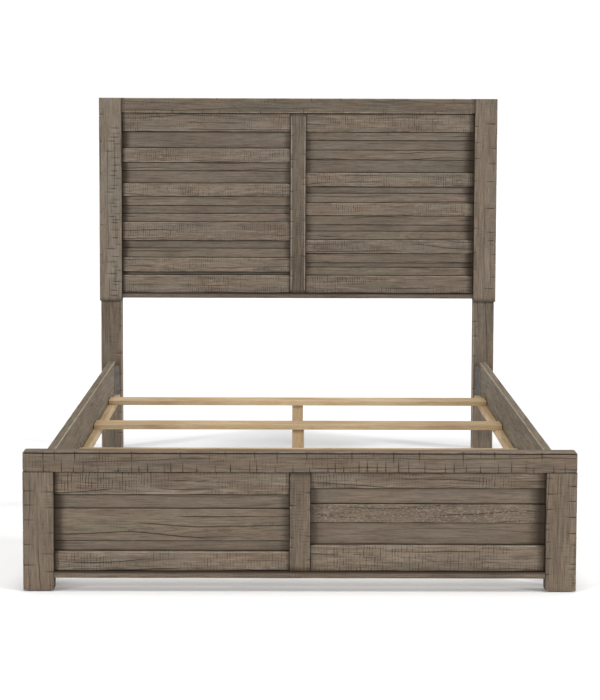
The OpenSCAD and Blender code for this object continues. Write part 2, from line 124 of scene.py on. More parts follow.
class Pattern:
    """Patterns on one node tree, sized in millimetres along and across the grain."""

    def __init__(self, tree: bpy.types.NodeTree, place: Feed) -> None:
        """Keeps the tree and what gives a point's place in metres."""
        self.tree = tree
        self.place = place

    def streaks(self, length: float, width: float, detail: float = 2.0, rough: float = 0.55,
                shift: float = 0.0) -> bpy.types.Node:
        """Noise drawn out along the grain, around a value of 0.5.

        Args:
            length: size of a streak along the grain, in millimetres.
            width: size of a streak across the grain, in millimetres.
            detail: octaves of finer noise.
            rough: how strong the finer octaves are.
            shift: offset that keeps one pattern from repeating another.

        Returns:
            The noise node.
        """
        scale = (1 / (length * MM), 1 / (width * MM), 1 / (width * MM))
        mapped = add(self.tree, "Mapping", {"Vector": self.place, "Scale": scale,
                                            "Location": (shift, shift, shift)})
        return add(self.tree, "TexNoise", {"Vector": mapped, "Scale": 1.0, "Detail": detail,
                                           "Roughness": rough})

    def pushed(self, along: float, across: float, push: tuple[float, float, float],
               shift: float = 0.0) -> "Pattern":
        """A pattern whose place is pushed about by slow noise, so that its lines wander.

        Args:
            along: size of the noise along the grain, in millimetres.
            across: size of the noise across the grain, in millimetres.
            push: how far the noise moves a point along each axis, in millimetres.
            shift: offset that keeps one noise from repeating another.

        Returns:
            The pattern on the pushed place.
        """
        slow = self.streaks(along, across, 1.0, 0.5, shift).outputs["Color"]
        middle = add(self.tree, "VectorMath", {0: slow, 1: (0.5, 0.5, 0.5)}, operation="SUBTRACT")
        reach = tuple(2 * MM * part for part in push)
        moved = add(self.tree, "VectorMath", {0: middle, 1: reach, 2: self.place},
                    operation="MULTIPLY_ADD")
        return Pattern(self.tree, moved)

    def waves(self, pitch: float, low: float, high: float, kind: str = "BANDS",
              profile: str = "SIN", axis: str = "X") -> Feed:
        """Crests of even waves.

        Args:
            pitch: distance between two crests, in millimetres.
            low: height at which a crest starts to show.
            high: height from which it shows in full.
            kind: BANDS along the axis or RINGS around it.
            profile: shape of a wave, SIN or SAW.
            axis: the waves' axis.

        Returns:
            0 between the crests and 1 on them.
        """
        settings = {"wave_type": kind, "wave_profile": profile, f"{kind.lower()}_direction": axis}
        wave = add(self.tree, "TexWave", {"Vector": self.place, "Scale": WAVE_PERIOD / (pitch * MM),
                                          "Distortion": 0.0}, **settings)
        return self.where(Fade(wave.outputs["Fac"], low, high))

    def where(self, *fades: Fade) -> Feed:
        """Tells where several values are all high.

        Args:
            fades: the values, each with the span that it fades in over.

        Returns:
            The product of the faded values.
        """
        total = None
        for fade in fades:
            part = add(self.tree, "MapRange",
                       {"Value": fade.value, "From Min": fade.low, "From Max": fade.high,
                        "To Min": fade.start, "To Max": fade.end}, interpolation_type="SMOOTHSTEP")
            total = part if total is None else add(self.tree, "Math", {0: total, 1: part},
                                                   operation="MULTIPLY")
        return total

    def stained(self, colour: Union[Feed, Colour], share: Feed, strength: float,
                tint: str) -> Feed:
        """Lays a stain over a colour.

        Args:
            colour: the colour under it.
            share: where the stain lies, from 0 to 1.
            strength: how much of the colour it hides at most.
            tint: the stain's sRGB colour.

        Returns:
            The stained colour.
        """
        amount = add(self.tree, "Math", {0: share, 1: strength}, operation="MULTIPLY")
        return add(self.tree, "Mix", {0: amount, MIX_A: colour, MIX_B: linear(tint)},
                   data_type="RGBA")


@dataclass(frozen=True)
class Layer:
    """Something that both colours the wood and lifts or sinks its surface.

    share is where it lies, from 0 to 1, and strength how much of the colour under it its tint
    hides. lift is how far it raises the surface, as a share of the wood's relief.
    """

    share: Feed
    strength: float
    tint: str
    lift: float


def new_material(name: str) -> tuple[bpy.types.Material, bpy.types.NodeTree]:
    """Makes a material whose node tree is empty.

    Args:
        name: the material's name.

    Returns:
        The material and its node tree.
    """
    material = bpy.data.materials.new(name)
    material.use_nodes = True
    material.node_tree.nodes.clear()
    return material, material.node_tree


@dataclass(frozen=True)
class Wood:
    """Solid wood: growth rings cut by the surface, fibres along the grain, and how it was worked.

    The colours are sRGB: the wood's warm and cool ground, its dark and pale grain, its cracks, the
    pale of rubbed arrises, which is partly a painted highlight, the painted shade in joints,
    recesses and at board ends, which is partly dark glazing, and the soot in nicks. figure, fibre,
    saw, cracks, pale_lines and wear are strengths from 0 to 1. ring, the width of a growth ring,
    and relief, the height of the grain, are in millimetres. roughness is for pale and for dark
    fibres.
    A mesh's attributes give its place in the tree, its rubbed arrises with their painted highlight
    and its painted shade.
    """

    name: str
    warm: str
    cool: str
    dark: str
    pale: str
    crack: str = "#2e261d"
    # Pale of rubbed arrises: partly bare wood, partly a painted highlight where light catches them.
    worn: str = "#afa290"
    # Painted shade in joints, recesses and at board ends, partly dark glazing.
    glaze: str = "#352b22"
    soot: str = "#241c15"
    figure: float = 0.35
    fibre: float = 0.6
    saw: float = 0.0
    cracks: float = 0.5
    pale_lines: float = 0.3
    ring: float = 1.7
    roughness: tuple[float, float] = (0.58, 0.8)
    # Strength of that pale on rubbed arrises, with its painted highlight.
    wear: float = 0.75
    relief: float = 0.45

    def material(self) -> bpy.types.Material:
        """Builds the material.

        Returns:
            The material, which reads the attributes that Timber paints.
        """
        material, tree = new_material(self.name)
        read = {name: add(tree, "Attribute", attribute_name=name).outputs["Fac"]
                for name in ("wear", "glaze", "nick", "tone", "cast", "flake", "broad")}
        grain = add(tree, "Attribute", attribute_name="grain").outputs["Vector"]
        pat = Pattern(tree, grain)
        fibre = pat.streaks(90, 4.2, 3.0, 0.62)
        # Growth rings: plain-sawn, bent by slow noise, so that they show as long cathedral arches.
        wander = pat.pushed(420, 120, (0.0, 9.0, 9.0)).pushed(55, 13, (0.0, 0.9, 0.9), 2.0)
        latewood = wander.waves(self.ring, 0.72, 1.0, "RINGS", "SAW")

        colour = self._grown(pat, fibre, latewood)
        colour = self._glazed(pat, colour, read)
        height = add(tree, "Math", {0: fibre, 1: 0.5}, operation="MULTIPLY")
        height = add(tree, "Math", {0: latewood, 1: 0.4 * self.figure, 2: height},
                     operation="MULTIPLY_ADD")
        for layer in self._layers(pat, wander, read):
            colour = pat.stained(colour, layer.share, layer.strength, layer.tint)
            height = add(tree, "Math", {0: layer.share, 1: layer.lift, 2: height},
                         operation="MULTIPLY_ADD")

        # Rubbed arrises, pale from bare wood and a painted highlight; painted shade, partly dark
        # glazing, in joints, recesses and at board ends; and the dark of a saw nick.
        patchy = add(tree, "Math", {0: read["wear"], 1: pat.streaks(38, 7, 3.0, 0.6, shift=71.0)},
                     operation="ADD")
        colour = pat.stained(colour, pat.where(Fade(patchy, 0.98, 1.6)), self.wear, self.worn)
        colour = pat.stained(colour, read["glaze"], 0.85, self.glaze)
        colour = pat.stained(colour, read["nick"], 0.92, self.soot)

        bump = add(tree, "Bump", {"Height": height, "Strength": 1.0, "Distance": self.relief * MM})
        rough = pat.where(Fade(fibre, 0.3, 0.7, self.roughness[1], self.roughness[0]))
        shader = add(tree, "BsdfPrincipled", {"Base Color": colour, "Roughness": rough,
                                              "Normal": bump, "IOR": 1.45,
                                              "Specular IOR Level": 0.2})
        add(tree, "OutputMaterial", {"Surface": shader})
        return material

    def _grown(self, pat: Pattern, fibre: Feed, latewood: Feed) -> Feed:
        """Colours the wood by its latewood, its light and dark fibres and its pores.

        Args:
            pat: patterns on the wood's grain.
            fibre: noise along the fibres, around 0.5.
            latewood: 1 in the dark part of a growth ring.

        Returns:
            The colour of the grown wood.
        """
        hue = pat.where(Fade(pat.streaks(230, 45, 2.0, shift=11.7), 0.38, 0.62))
        fine = pat.streaks(34, 1.8, 3.0, 0.7, shift=5.3)
        pores = pat.where(Fade(pat.streaks(9, 0.5, 1.0, 0.5, shift=9.9), 0.4, 0.25))
        colour = add(pat.tree, "Mix", {0: hue, MIX_A: linear(self.warm), MIX_B: linear(self.cool)},
                     data_type="RGBA")
        colour = pat.stained(colour, latewood, self.figure, self.dark)
        colour = pat.stained(colour, pat.where(Fade(fibre, 0.5, 0.68)), self.fibre, self.pale)
        colour = pat.stained(colour, pat.where(Fade(fibre, 0.5, 0.32)), self.fibre, self.dark)
        colour = pat.stained(colour, pat.where(Fade(fine, 0.5, 0.3)), self.fibre, self.dark)
        return pat.stained(colour, pores, 0.5, self.crack)

    def _glazed(self, pat: Pattern, colour: Feed, read: dict[str, Feed]) -> Feed:
        """Darkens or lightens the wood in slow patches and by its piece's tone and cast.

        Args:
            pat: patterns on the wood's grain.
            colour: the colour of the grown wood.
            read: what the mesh's attributes give, by their names.

        Returns:
            The glazed colour.
        """
        tree = pat.tree
        blotch = pat.where(Fade(pat.streaks(300, 60, 3.0, shift=3.1), 0.3, 0.7, 0.86, 1.1))
        tone = add(tree, "Math", {0: read["tone"], 1: 0.5}, operation="SUBTRACT")
        shade = add(tree, "Math", {0: blotch, 1: tone}, operation="ADD")
        cool = add(tree, "Math", {0: shade, 1: read["cast"]}, operation="MULTIPLY")
        red = add(tree, "Math", {0: shade, 1: cool}, operation="SUBTRACT")
        blue = add(tree, "Math", {0: shade, 1: cool}, operation="ADD")
        tint = add(tree, "CombineColor", {0: red, 1: shade, 2: blue})
        return add(tree, "Mix", {0: 1.0, MIX_A: colour, MIX_B: tint}, data_type="RGBA",
                   blend_type="MULTIPLY")

    def _layers(self, pat: Pattern, wander: Pattern, read: dict[str, Feed]) -> list[Layer]:
        """Lists what lies on the glazed wood, from the lowest layer to the highest.

        Args:
            pat: patterns on the wood's grain.
            wander: the same, bent as the growth rings are.
            read: what the mesh's attributes give, by their names.

        Returns:
            Saw kerfs where the wood has them, raised pale grain, drying cracks on broad faces, and
            small pale scales of lifted grain on boards that were worked against it.
        """
        layers = []
        if self.saw > 0:
            layers.append(Layer(self._kerfs(pat), 0.75 * self.saw, self.crack, -0.8 * self.saw))
        layers.append(Layer(self._pale_grain(pat, wander), self.pale_lines, self.pale,
                            0.5 * self.pale_lines))
        crack = add(pat.tree, "Math", {0: self._splits(pat), 1: read["broad"]},
                    operation="MULTIPLY")
        layers.append(Layer(crack, self.cracks, self.crack, -self.cracks))
        lifted = pat.where(Fade(pat.streaks(8, 3.2, 2.0, 0.6, shift=81.0), 0.5, 0.62))
        scales = add(pat.tree, "Math", {0: lifted, 1: read["flake"]}, operation="MULTIPLY")
        layers.append(Layer(scales, 1.0, self.pale, 1.0))
        return layers

    def _kerfs(self, pat: Pattern) -> Feed:
        """Draws saw kerfs 9 mm apart, coarser than a real blade's so that they show from afar.

        Args:
            pat: patterns on the wood's grain.

        Returns:
            1 in a kerf and 0 beside it.
        """
        bent = pat.pushed(45, 160, (9.0, 0.0, 0.0), 4.0).pushed(14, 22, (1.2, 0.0, 0.0))
        patch = pat.where(Fade(pat.streaks(190, 60, 2.0, shift=21.0), 0.56 - 0.26 * self.saw, 0.64),
                          Fade(pat.streaks(9, 26, 2.0, shift=8.0), 0.4, 0.6, 0.1, 1.0))
        return add(pat.tree, "Math", {0: bent.waves(9.0, 0.66, 0.97), 1: patch},
                   operation="MULTIPLY")

    def _pale_grain(self, pat: Pattern, wander: Pattern) -> Feed:
        """Draws thin pale lines where slow noise passes its middle, gathered in places.

        Args:
            pat: patterns on the wood's grain.
            wander: the same, bent as the growth rings are.

        Returns:
            1 on a line and 0 beside it.
        """
        off = add(pat.tree, "Math", {0: wander.streaks(240, 16, 2.0, 0.55, shift=31.0), 1: 0.5},
                  operation="SUBTRACT")
        away = add(pat.tree, "Math", {0: off}, operation="ABSOLUTE")
        return pat.where(Fade(away, 0.0, 0.035, 1.0, 0.0),
                         Fade(pat.streaks(260, 45, 1.0, shift=41.0), 0.48, 0.62))

    def _splits(self, pat: Pattern) -> Feed:
        """Draws drying cracks: long bent lines 30 mm apart, gathered in places.

        Args:
            pat: patterns on the wood's grain.

        Returns:
            1 in a crack and 0 beside it.
        """
        bent = pat.pushed(480, 300, (0.0, 0.0, 34.0), 6.0).pushed(38, 20, (0.0, 0.0, 1.0), 9.0)
        place = pat.where(Fade(pat.streaks(360, 60, 1.0, shift=61.0), 0.48, 0.57))
        return add(pat.tree, "Math", {0: bent.waves(30, 0.965, 0.995, axis="Z"), 1: place},
                   operation="MULTIPLY")


@dataclass(frozen=True)
class Metal:
    """Plated or plain metal with fine scratches and a slightly uneven plating."""

    name: str
    colour: str
    stain: str
    roughness: tuple[float, float] = (0.28, 0.45)

    def material(self) -> bpy.types.Material:
        """Builds the material on object coordinates.

        Returns:
            The material.
        """
        material, tree = new_material(self.name)
        pat = Pattern(tree, add(tree, "TexCoord").outputs["Object"])
        cloud = pat.where(Fade(pat.streaks(14, 14, 3.0), 0.35, 0.65))
        scratch = pat.streaks(30, 0.8, 2.0, 0.7, shift=4.0)
        colour = pat.stained(linear(self.colour), cloud, 0.6, self.stain)
        rough = pat.where(Fade(scratch, 0.3, 0.7, *self.roughness))
        bump = add(tree, "Bump", {"Height": scratch, "Strength": 0.5, "Distance": 0.05 * MM})
        shader = add(tree, "BsdfPrincipled", {"Base Color": colour, "Metallic": 1.0,
                                              "Roughness": rough, "Normal": bump})
        add(tree, "OutputMaterial", {"Surface": shader})
        return material


@dataclass(frozen=True)
class Plastic:
    """Moulded polypropylene with a spark-eroded grain of about half a millimetre."""

    name: str
    colour: str
    scuff: str

    def material(self) -> bpy.types.Material:
        """Builds the material on object coordinates.

        Returns:
            The material.
        """
        material, tree = new_material(self.name)
        pat = Pattern(tree, add(tree, "TexCoord").outputs["Object"])
        dust = pat.where(Fade(pat.streaks(9, 9, 3.0, shift=2.0), 0.5, 0.75))
        colour = pat.stained(linear(self.colour), dust, 0.4, self.scuff)
        rough = pat.where(Fade(dust, 0.0, 1.0, 0.48, 0.68))
        grit = pat.streaks(0.6, 0.6, 2.0)
        bump = add(tree, "Bump", {"Height": grit, "Strength": 0.6, "Distance": 0.08 * MM})
        shader = add(tree, "BsdfPrincipled", {"Base Color": colour, "Roughness": rough,
                                              "Normal": bump, "IOR": 1.49})
        add(tree, "OutputMaterial", {"Surface": shader})
        return material


class Finish(Enum):
    """Every finish on the bed, named after the record's material slots."""

    # Solid pine, wire-brushed, grey-brown glazing rubbed off the arrises, which carry a painted
    # highlight.
    weathered_frame = Wood("glazed_pine_frame", "#776757", "#75695b", "#4c4136", "#8f8170",
                           figure=0.32, fibre=0.48, saw=0.48, cracks=0.6, pale_lines=0.25)
    # Thick boards straight from the saw: kerfs across the grain and lifted, pale figure.
    sawn_boards = Wood("rough_sawn_pine", "#7b6b5b", "#796d5f", "#443a30", "#9c8e7c",
                       figure=0.33, fibre=0.43, saw=1.0, cracks=0.85, pale_lines=0.5, relief=0.6)
    # Medium boards, scraped flat, with longer grain and a few cracks.
    planed_boards = Wood("scraped_pine", "#756657", "#74695a", "#493e34", "#8c7e6e",
                         figure=0.4, fibre=0.45, saw=0.2, cracks=0.9, pale_lines=0.4)
    # Thin boards, the smoothest, with fine straight fibres.
    smooth_boards = Wood("planed_pine", "#726456", "#72675a", "#4d4338", "#87796a",
                         figure=0.25, fibre=0.45, cracks=0.35, pale_lines=0.2, relief=0.35)
    # Rotary-cut plywood under one thin coat of stain.
    backing_panel = Wood("stained_plywood", "#695c4c", "#6b6151", "#4d4336", "#7d715d",
                         figure=0.5, fibre=0.4, cracks=0.1, pale_lines=0.1, ring=6.0, relief=0.2)
    # Side rails: the frame's timber, glazed, with more nicks.
    rail_timber = Wood("glazed_pine_rail", "#766858", "#786f5e", "#4d4337", "#918570",
                       figure=0.4, fibre=0.5, saw=0.5, cracks=0.5, pale_lines=0.3)
    # Planed pine left bare, dulled by age, with clear rings.
    slat_timber = Wood("bare_pine", "#b49a76", "#bba586", "#8d7049", "#cbb693", crack="#6f5334",
                       figure=0.5, fibre=0.35, cracks=0.15, pale_lines=0.1, ring=2.5, wear=0.15,
                       relief=0.25)
    # Zinc-plated sheet steel: a cool, pale grey gleam with soft darker clouds.
    plate_steel = Metal("zinc_plated_sheet", "#b4b6b8", "#8f9294")
    # Zinc-plated steel, yellowed by its passivation: warmer and duller than the sheet.
    screw_steel = Metal("zinc_plated_screw", "#bdb9a6", "#98927c", (0.3, 0.48))
    # Steel with black oxide: dark grey with a dull sheen.
    bolt_steel = Metal("black_oxide_bolt", "#5c5d60", "#46474a", (0.32, 0.5))
    # Turned brass: yellow, and the smoothest of the metals.
    insert_brass = Metal("turned_brass", "#c9a75a", "#a7863f", (0.25, 0.4))
    # Moulded polypropylene, nearly black, with an even matt grain and a little dust.
    levelling_foot = Plastic("moulded_polypropylene_foot", "#262524", "#4a4744")
    # The same in brown, scuffed paler.
    glide_plastic = Plastic("moulded_polypropylene_glide", "#3a3531", "#5b554e")


def placed(name: str, data: bpy.types.ID) -> bpy.types.Object:
    """Adds an object to the scene.

    Args:
        name: the object's name.
        data: its mesh, light or camera.

    Returns:
        The new object.
    """
    obj = bpy.data.objects.new(name, data)
    bpy.context.scene.collection.objects.link(obj)
    return obj


def as_mesh(bm: bmesh.types.BMesh, name: str) -> bpy.types.Mesh:
    """Turns a bmesh into a mesh and frees it.

    Args:
        bm: the shape.
        name: the mesh's name.

    Returns:
        The new mesh.
    """
    mesh = bpy.data.meshes.new(name)
    bm.to_mesh(mesh)
    bm.free()
    return mesh


class Workshop:
    """Makes each finish once, and turns a bmesh into a finished piece that rides on its body."""

    def __init__(self) -> None:
        """Starts with no finish made."""
        self.made: dict[Finish, bpy.types.Material] = {}

    def material(self, finish: Finish) -> bpy.types.Material:
        """Gives a finish's material, and builds it the first time.

        Args:
            finish: the finish.

        Returns:
            Its material.
        """
        if finish not in self.made:
            self.made[finish] = finish.value.material()
        return self.made[finish]

    def piece(self, name: str, mesh: bpy.types.Mesh, finish: Finish, nodes: Sequence[str],
              body: str = BODY) -> None:
        """Makes a mesh a piece of the bed.

        Args:
            name: the piece's name.
            mesh: its mesh, in place.
            finish: its finish, which also names its material slot.
            nodes: the CAD nodes that it stands for.
            body: the body that it rides on.
        """
        obj = placed(name, mesh)
        mesh.materials.append(self.material(finish))
        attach(obj, body)
        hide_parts(*nodes)
        LOG.info("%s: %d faces", name, len(mesh.polygons))

    def timber(self, timber: "Timber", finish: Finish, ending: str = "_timber") -> None:
        """Shapes a timber that bears its CAD node's name, and makes it a piece.

        Args:
            timber: the timber.
            finish: its finish.
            ending: what the piece's name adds to the node's.
        """
        self.piece(timber.name + ending, timber.build(), finish, [timber.name])


# ---------------------------------------------------------------- timber


class Side(Enum):
    """A side of a box: the axis that it faces along and which way."""

    LEFT = (0, -1)
    RIGHT = (0, 1)
    FRONT = (1, -1)
    BACK = (1, 1)
    UNDER = (2, -1)
    TOP = (2, 1)

    @property
    def axis(self) -> int:
        """The axis that the side faces along."""
        return self.value[0]

    @property
    def sign(self) -> int:
        """1 for the high side, -1 for the low side."""
        return self.value[1]


def inner_and_outer(sign: int) -> tuple[Side, Side]:
    """Names the sides of a piece on one half of the bed.

    Args:
        sign: -1 on the left half and 1 on the right half.

    Returns:
        The side towards the bed's middle and the side away from it.
    """
    return (Side.RIGHT, Side.LEFT) if sign < 0 else (Side.LEFT, Side.RIGHT)


@dataclass(frozen=True)
class Nicks:
    """A row of shallow saw nicks that start at or near one arris and run across the grain.

    Lengths are in millimetres. face is the face they are cut in, and edge the side they start from,
    inset away from it. pitch is the step from one to the next. start is how much of the timber's
    high end has none.
    """

    face: Side
    edge: Side
    pitch: tuple[float, float]
    reach: tuple[float, float]
    depth: float = 1.8
    half_width: float = 1.8
    inset: tuple[float, float] = (0.0, 0.0)
    start: float = 0.0


@dataclass(frozen=True)
class Score:
    """A fine dark line along the grain beside an arris, sunk a little, in millimetres."""

    face: Side
    edge: Side
    inward: float
    half_width: float = 2.6
    depth: float = 0.4
    strength: float = 1.0


@dataclass(frozen=True)
class ShadeAndGlazeBand:
    """A band of painted shade, partly dark glazing, along one side of a timber, its width in
    millimetres.
    """

    side: Side
    width: float
    strength: float = 1.0


@dataclass(frozen=True)
class Nick:
    """One nick of a row, in metres, with its place along the grain."""

    row: Nicks
    along: float
    inset: float
    reach: float
    strength: float


@dataclass
class Timber:
    """A length of wood with eased and rubbed arrises, hand-worked faces and saw nicks.

    low and high are its corners, in metres, and other lengths are in millimetres. grain is the axis
    that its fibres run along. ease and end_ease are the radii of its long arrises and of its ends,
    cell and across the steps of its mesh. relief is how deep its faces are worked and rub how deep
    its arrises are. worn gives the sides whose arrises are rubbed and painted pale, partly as a
    painted highlight, and recessed the sides that drop to a panel, which get painted shade behind
    the front arris. glazed gives bands of painted shade, partly dark glazing. tone, cast, flake and
    polish are how light, cool, scaly and rubbed it looks, polish with its painted highlight.
    """

    name: str
    low: Vector
    high: Vector
    grain: int
    seed: int
    ease: float = 2.5
    end_ease: float = 1.2
    rows: tuple[Nicks, ...] = ()
    scores: tuple[Score, ...] = ()
    glazed: tuple[ShadeAndGlazeBand, ...] = ()
    worn: Optional[tuple[Side, ...]] = None
    cell: float = 16.0
    across: float = 8.0
    relief: float = 0.35
    rub: float = 0.9
    tone: float = 0.5
    cast: float = 0.0
    flake: float = 0.0
    polish_and_highlight: float = 1.0
    recessed: tuple[Side, ...] = ()
    cutters: list[bmesh.types.BMesh] = field(default_factory=list)

    def build(self) -> bpy.types.Mesh:
        """Shapes the timber, cuts its joints and paints what its finish reads.

        Returns:
            The finished mesh.
        """
        self.random = random.Random(self.seed)
        self.centre = np.array((self.low + self.high) / 2)
        self.half = np.array((self.high - self.low) / 2)
        self.nicks = [nick for row in self.rows for nick in self._lay_out(row)]
        bm = gridded_box([self._stations(axis) for axis in range(3)])
        co = self._round(np.array([v.co for v in bm.verts]))
        for vert, place in zip(bm.verts, co + self.centre):
            vert.co = place
        for polygon in bm.faces:
            polygon.smooth = True
        mesh = as_mesh(bm, self.name)
        if self.cutters:
            mesh = cut_away(mesh, self.cutters)
        self._paint(mesh)
        return mesh

    def _lay_out(self, row: Nicks) -> Iterable[Nick]:
        """Places one row's nicks at uneven steps along the grain.

        Args:
            row: the row.

        Yields:
            Its nicks, from the timber's low end up.
        """
        end_margin = 12
        length = self.half[self.grain]
        along = -length + self.random.uniform(*row.pitch) * MM
        while along < length - (end_margin + row.start) * MM:
            reach, strength = self.random.uniform(*row.reach) * MM, self.random.uniform(0.5, 1.0)
            yield Nick(row, along, self.random.uniform(*row.inset) * MM, reach, strength)
            along += self.random.uniform(*row.pitch) * MM

    def _stations(self, axis: int) -> list[float]:
        """Works out where the timber's box is cut along one axis.

        Args:
            axis: the axis.

        Returns:
            Places from the timber's middle, with extra ones at arrises, nicks and scores.
        """
        half = float(self.half[axis])
        along = axis == self.grain
        ease = (self.end_ease if along else self.ease) * MM
        step = (self.cell if along else self.across) * MM
        rim = [half, half - 0.3 * ease, half - ease, half - 2.2 * ease]
        rim = [place for place in rim if place > 0]
        span = rim[-1]
        count = max(1, round(2 * span / step))
        body = [-span + 2 * span * i / count for i in range(1, count)]
        fixed = {-place for place in rim} | set(rim)
        if along:
            for nick in self.nicks:
                width = nick.row.half_width * MM
                fixed |= {nick.along + share * width for share in (-1, -0.5, 0, 0.5, 1)}
        for score in self.scores:
            if score.edge.axis == axis:
                line = score.edge.sign * (half - score.inward * MM)
                fixed |= {line + share * score.half_width * MM for share in (-1, 0, 1)}
        apart = 2 * MM
        free = [place for place in body if all(abs(place - other) > apart for other in fixed)]
        return sorted(fixed | set(free))

    def _round(self, q: np.ndarray) -> np.ndarray:
        """Rounds the arrises, works the faces and sinks the nicks.

        Args:
            q: points on the box, from the timber's middle.

        Returns:
            The same points on the worked timber.
        """
        small, large = 0.02, 0.06   # metres across the dents of the two noises
        shift = Vector((self.seed * 1.37, self.seed * 0.71, self.seed * 0.29))
        stretch = Vector((1, 1, 1))
        stretch[self.grain] = 0.25
        wobble = np.array([noise.noise(Vector(p) * stretch / small + shift) for p in q])
        swell = np.array([noise.noise(Vector(p) * stretch / large - shift) for p in q])
        ease = np.full(len(q), self.ease * MM)
        ends = self.half[self.grain] - np.abs(q[:, self.grain]) < self.end_ease * MM
        ease[ends] = self.end_ease * MM
        ease *= 1 + 0.25 * wobble
        limit = self.half[None, :] - ease[:, None]
        inner = np.clip(q, -limit, limit)
        out = q - inner
        length = np.maximum(np.linalg.norm(out, axis=1), 1e-9)
        normal = out / length[:, None]
        rounded = inner + normal * ease[:, None]

        gap = np.sort(self.half - np.abs(q), axis=1)
        near_arris = np.clip(1 - gap[:, 1] / (2.2 * self.ease * MM), 0, 1)
        sink = self.relief * MM * (0.5 + 0.5 * swell)
        sink = sink + self.rub * MM * near_arris * np.clip(wobble + 0.15, 0, 1)
        rounded = rounded - normal * sink[:, None]
        for nick in self.nicks:
            strength = self._in_nick(q, nick)
            face, edge = nick.row.face, nick.row.edge
            rounded[:, face.axis] -= face.sign * strength * nick.row.depth * MM
            at_edge = self.half[edge.axis] - edge.sign * q[:, edge.axis] < self.ease * MM
            at_edge &= nick.inset < self.ease * MM
            rounded[:, edge.axis] -= edge.sign * strength * at_edge * nick.row.depth * MM
        for score in self.scores:
            sunk = self._in_score(q, score) * score.depth * MM
            rounded[:, score.face.axis] -= score.face.sign * sunk
        return rounded

    def _in_score(self, q: np.ndarray, score: Score) -> np.ndarray:
        """Tells how far each point lies in a scored line.

        Args:
            q: points from the timber's middle.
            score: the line.

        Returns:
            0 for a point beside the line, up to the line's strength for one on it.
        """
        on_face = self.half[score.face.axis] - score.face.sign * q[:, score.face.axis] < 1.5 * MM
        inward = self.half[score.edge.axis] - score.edge.sign * q[:, score.edge.axis]
        near = np.clip(1 - np.abs(inward - score.inward * MM) / (score.half_width * MM), 0, 1)
        return on_face * near * score.strength

    def _in_nick(self, q: np.ndarray, nick: Nick) -> np.ndarray:
        """Tells how deep each point lies in a nick.

        Args:
            q: points from the timber's middle.
            nick: the nick.

        Returns:
            0 for a point outside the nick, up to the nick's strength for one at its bottom.
        """
        face, edge = nick.row.face, nick.row.edge
        on_face = self.half[face.axis] - face.sign * q[:, face.axis] < (self.ease + 1.5) * MM
        away = np.abs(q[:, self.grain] - nick.along) / (nick.row.half_width * MM)
        beside = np.clip(2 - 2 * away, 0, 1)
        inward = self.half[edge.axis] - edge.sign * q[:, edge.axis] - nick.inset
        taper = np.clip(1.6 * (1 - inward / nick.reach), 0, 1)
        taper *= np.clip(1 + inward / (6 * MM), 0, 1)
        return on_face * beside * taper * nick.strength

    def _paint(self, mesh: bpy.types.Mesh) -> None:
        """Writes the attributes that the wood finishes read.

        Args:
            mesh: the finished mesh, in place.
        """
        co = np.zeros(len(mesh.vertices) * 3)
        mesh.vertices.foreach_get("co", co)
        q = co.reshape(-1, 3) - self.centre
        gap = np.abs(np.sort(self.half - np.abs(q), axis=1))
        # Rubbed arrises painted pale, partly bare wood and partly a painted highlight, on the
        # listed sides.
        wear = np.clip(1.3 - gap[:, 1] / (2.2 * self.ease * MM), 0, 1)
        if self.worn is not None:
            near = np.zeros(len(q), bool)
            for side in self.worn:
                near |= self.half[side.axis] - side.sign * q[:, side.axis] < 3 * self.ease * MM
            wear = wear * near
        # Painted shade in bands along the listed sides: shadow at board ends, shade in joints and
        # corners.
        glaze = np.zeros(len(q))
        for band in self.glazed:
            inward = self.half[band.side.axis] - band.side.sign * q[:, band.side.axis]
            near = np.clip(1.5 * (1 - inward / (band.width * MM)), 0, 1)
            glaze = np.maximum(glaze, band.strength * near)
        # Painted shade on the sides that drop to a panel, behind the front arris.
        for side in self.recessed:
            on_side = self.half[side.axis] - side.sign * q[:, side.axis] < 0.6 * self.ease * MM
            behind = q[:, 1] + self.half[1] - self.ease * MM
            glaze = np.maximum(glaze, 0.8 * on_side * np.clip(behind / (3 * MM), 0, 1))
        nick_depth = np.zeros(len(q))
        for nick in self.nicks:
            nick_depth = np.maximum(nick_depth, self._in_nick(q, nick))
        for score in self.scores:
            nick_depth = np.maximum(nick_depth, self._in_score(q, score))
        rest = [axis for axis in range(3) if axis != self.grain]
        order = [self.grain] + sorted(rest, key=lambda axis: self.half[axis])
        thin = order[1]
        broad = self.half[thin] - np.abs(q[:, thin]) < 1.2 * self.ease * MM
        pith = np.array([self.random.uniform(0, 40), self.random.uniform(0.05, 0.14),
                         self.random.uniform(-0.05, 0.05)])
        drift = self.random.uniform(-0.02, 0.02)
        grain = q[:, order] + pith
        grain[:, 1] += drift * q[:, self.grain]
        for name, values in (("wear", self.polish_and_highlight * wear * (1 - glaze)), ("glaze", glaze),
                             ("nick", nick_depth), ("tone", np.full(len(q), self.tone)),
                             ("cast", np.full(len(q), self.cast)),
                             ("flake", np.full(len(q), self.flake)), ("broad", broad)):
            write_values(mesh, name, values)
        made = mesh.attributes.new("grain", "FLOAT_VECTOR", "POINT")
        made.data.foreach_set("vector", grain.astype(np.float32).ravel())


def write_values(mesh: bpy.types.Mesh, name: str, values: np.ndarray) -> None:
    """Stores one number for each point of a mesh under a name."""
    made = mesh.attributes.new(name, "FLOAT", "POINT")
    made.data.foreach_set("value", values.astype(np.float32))


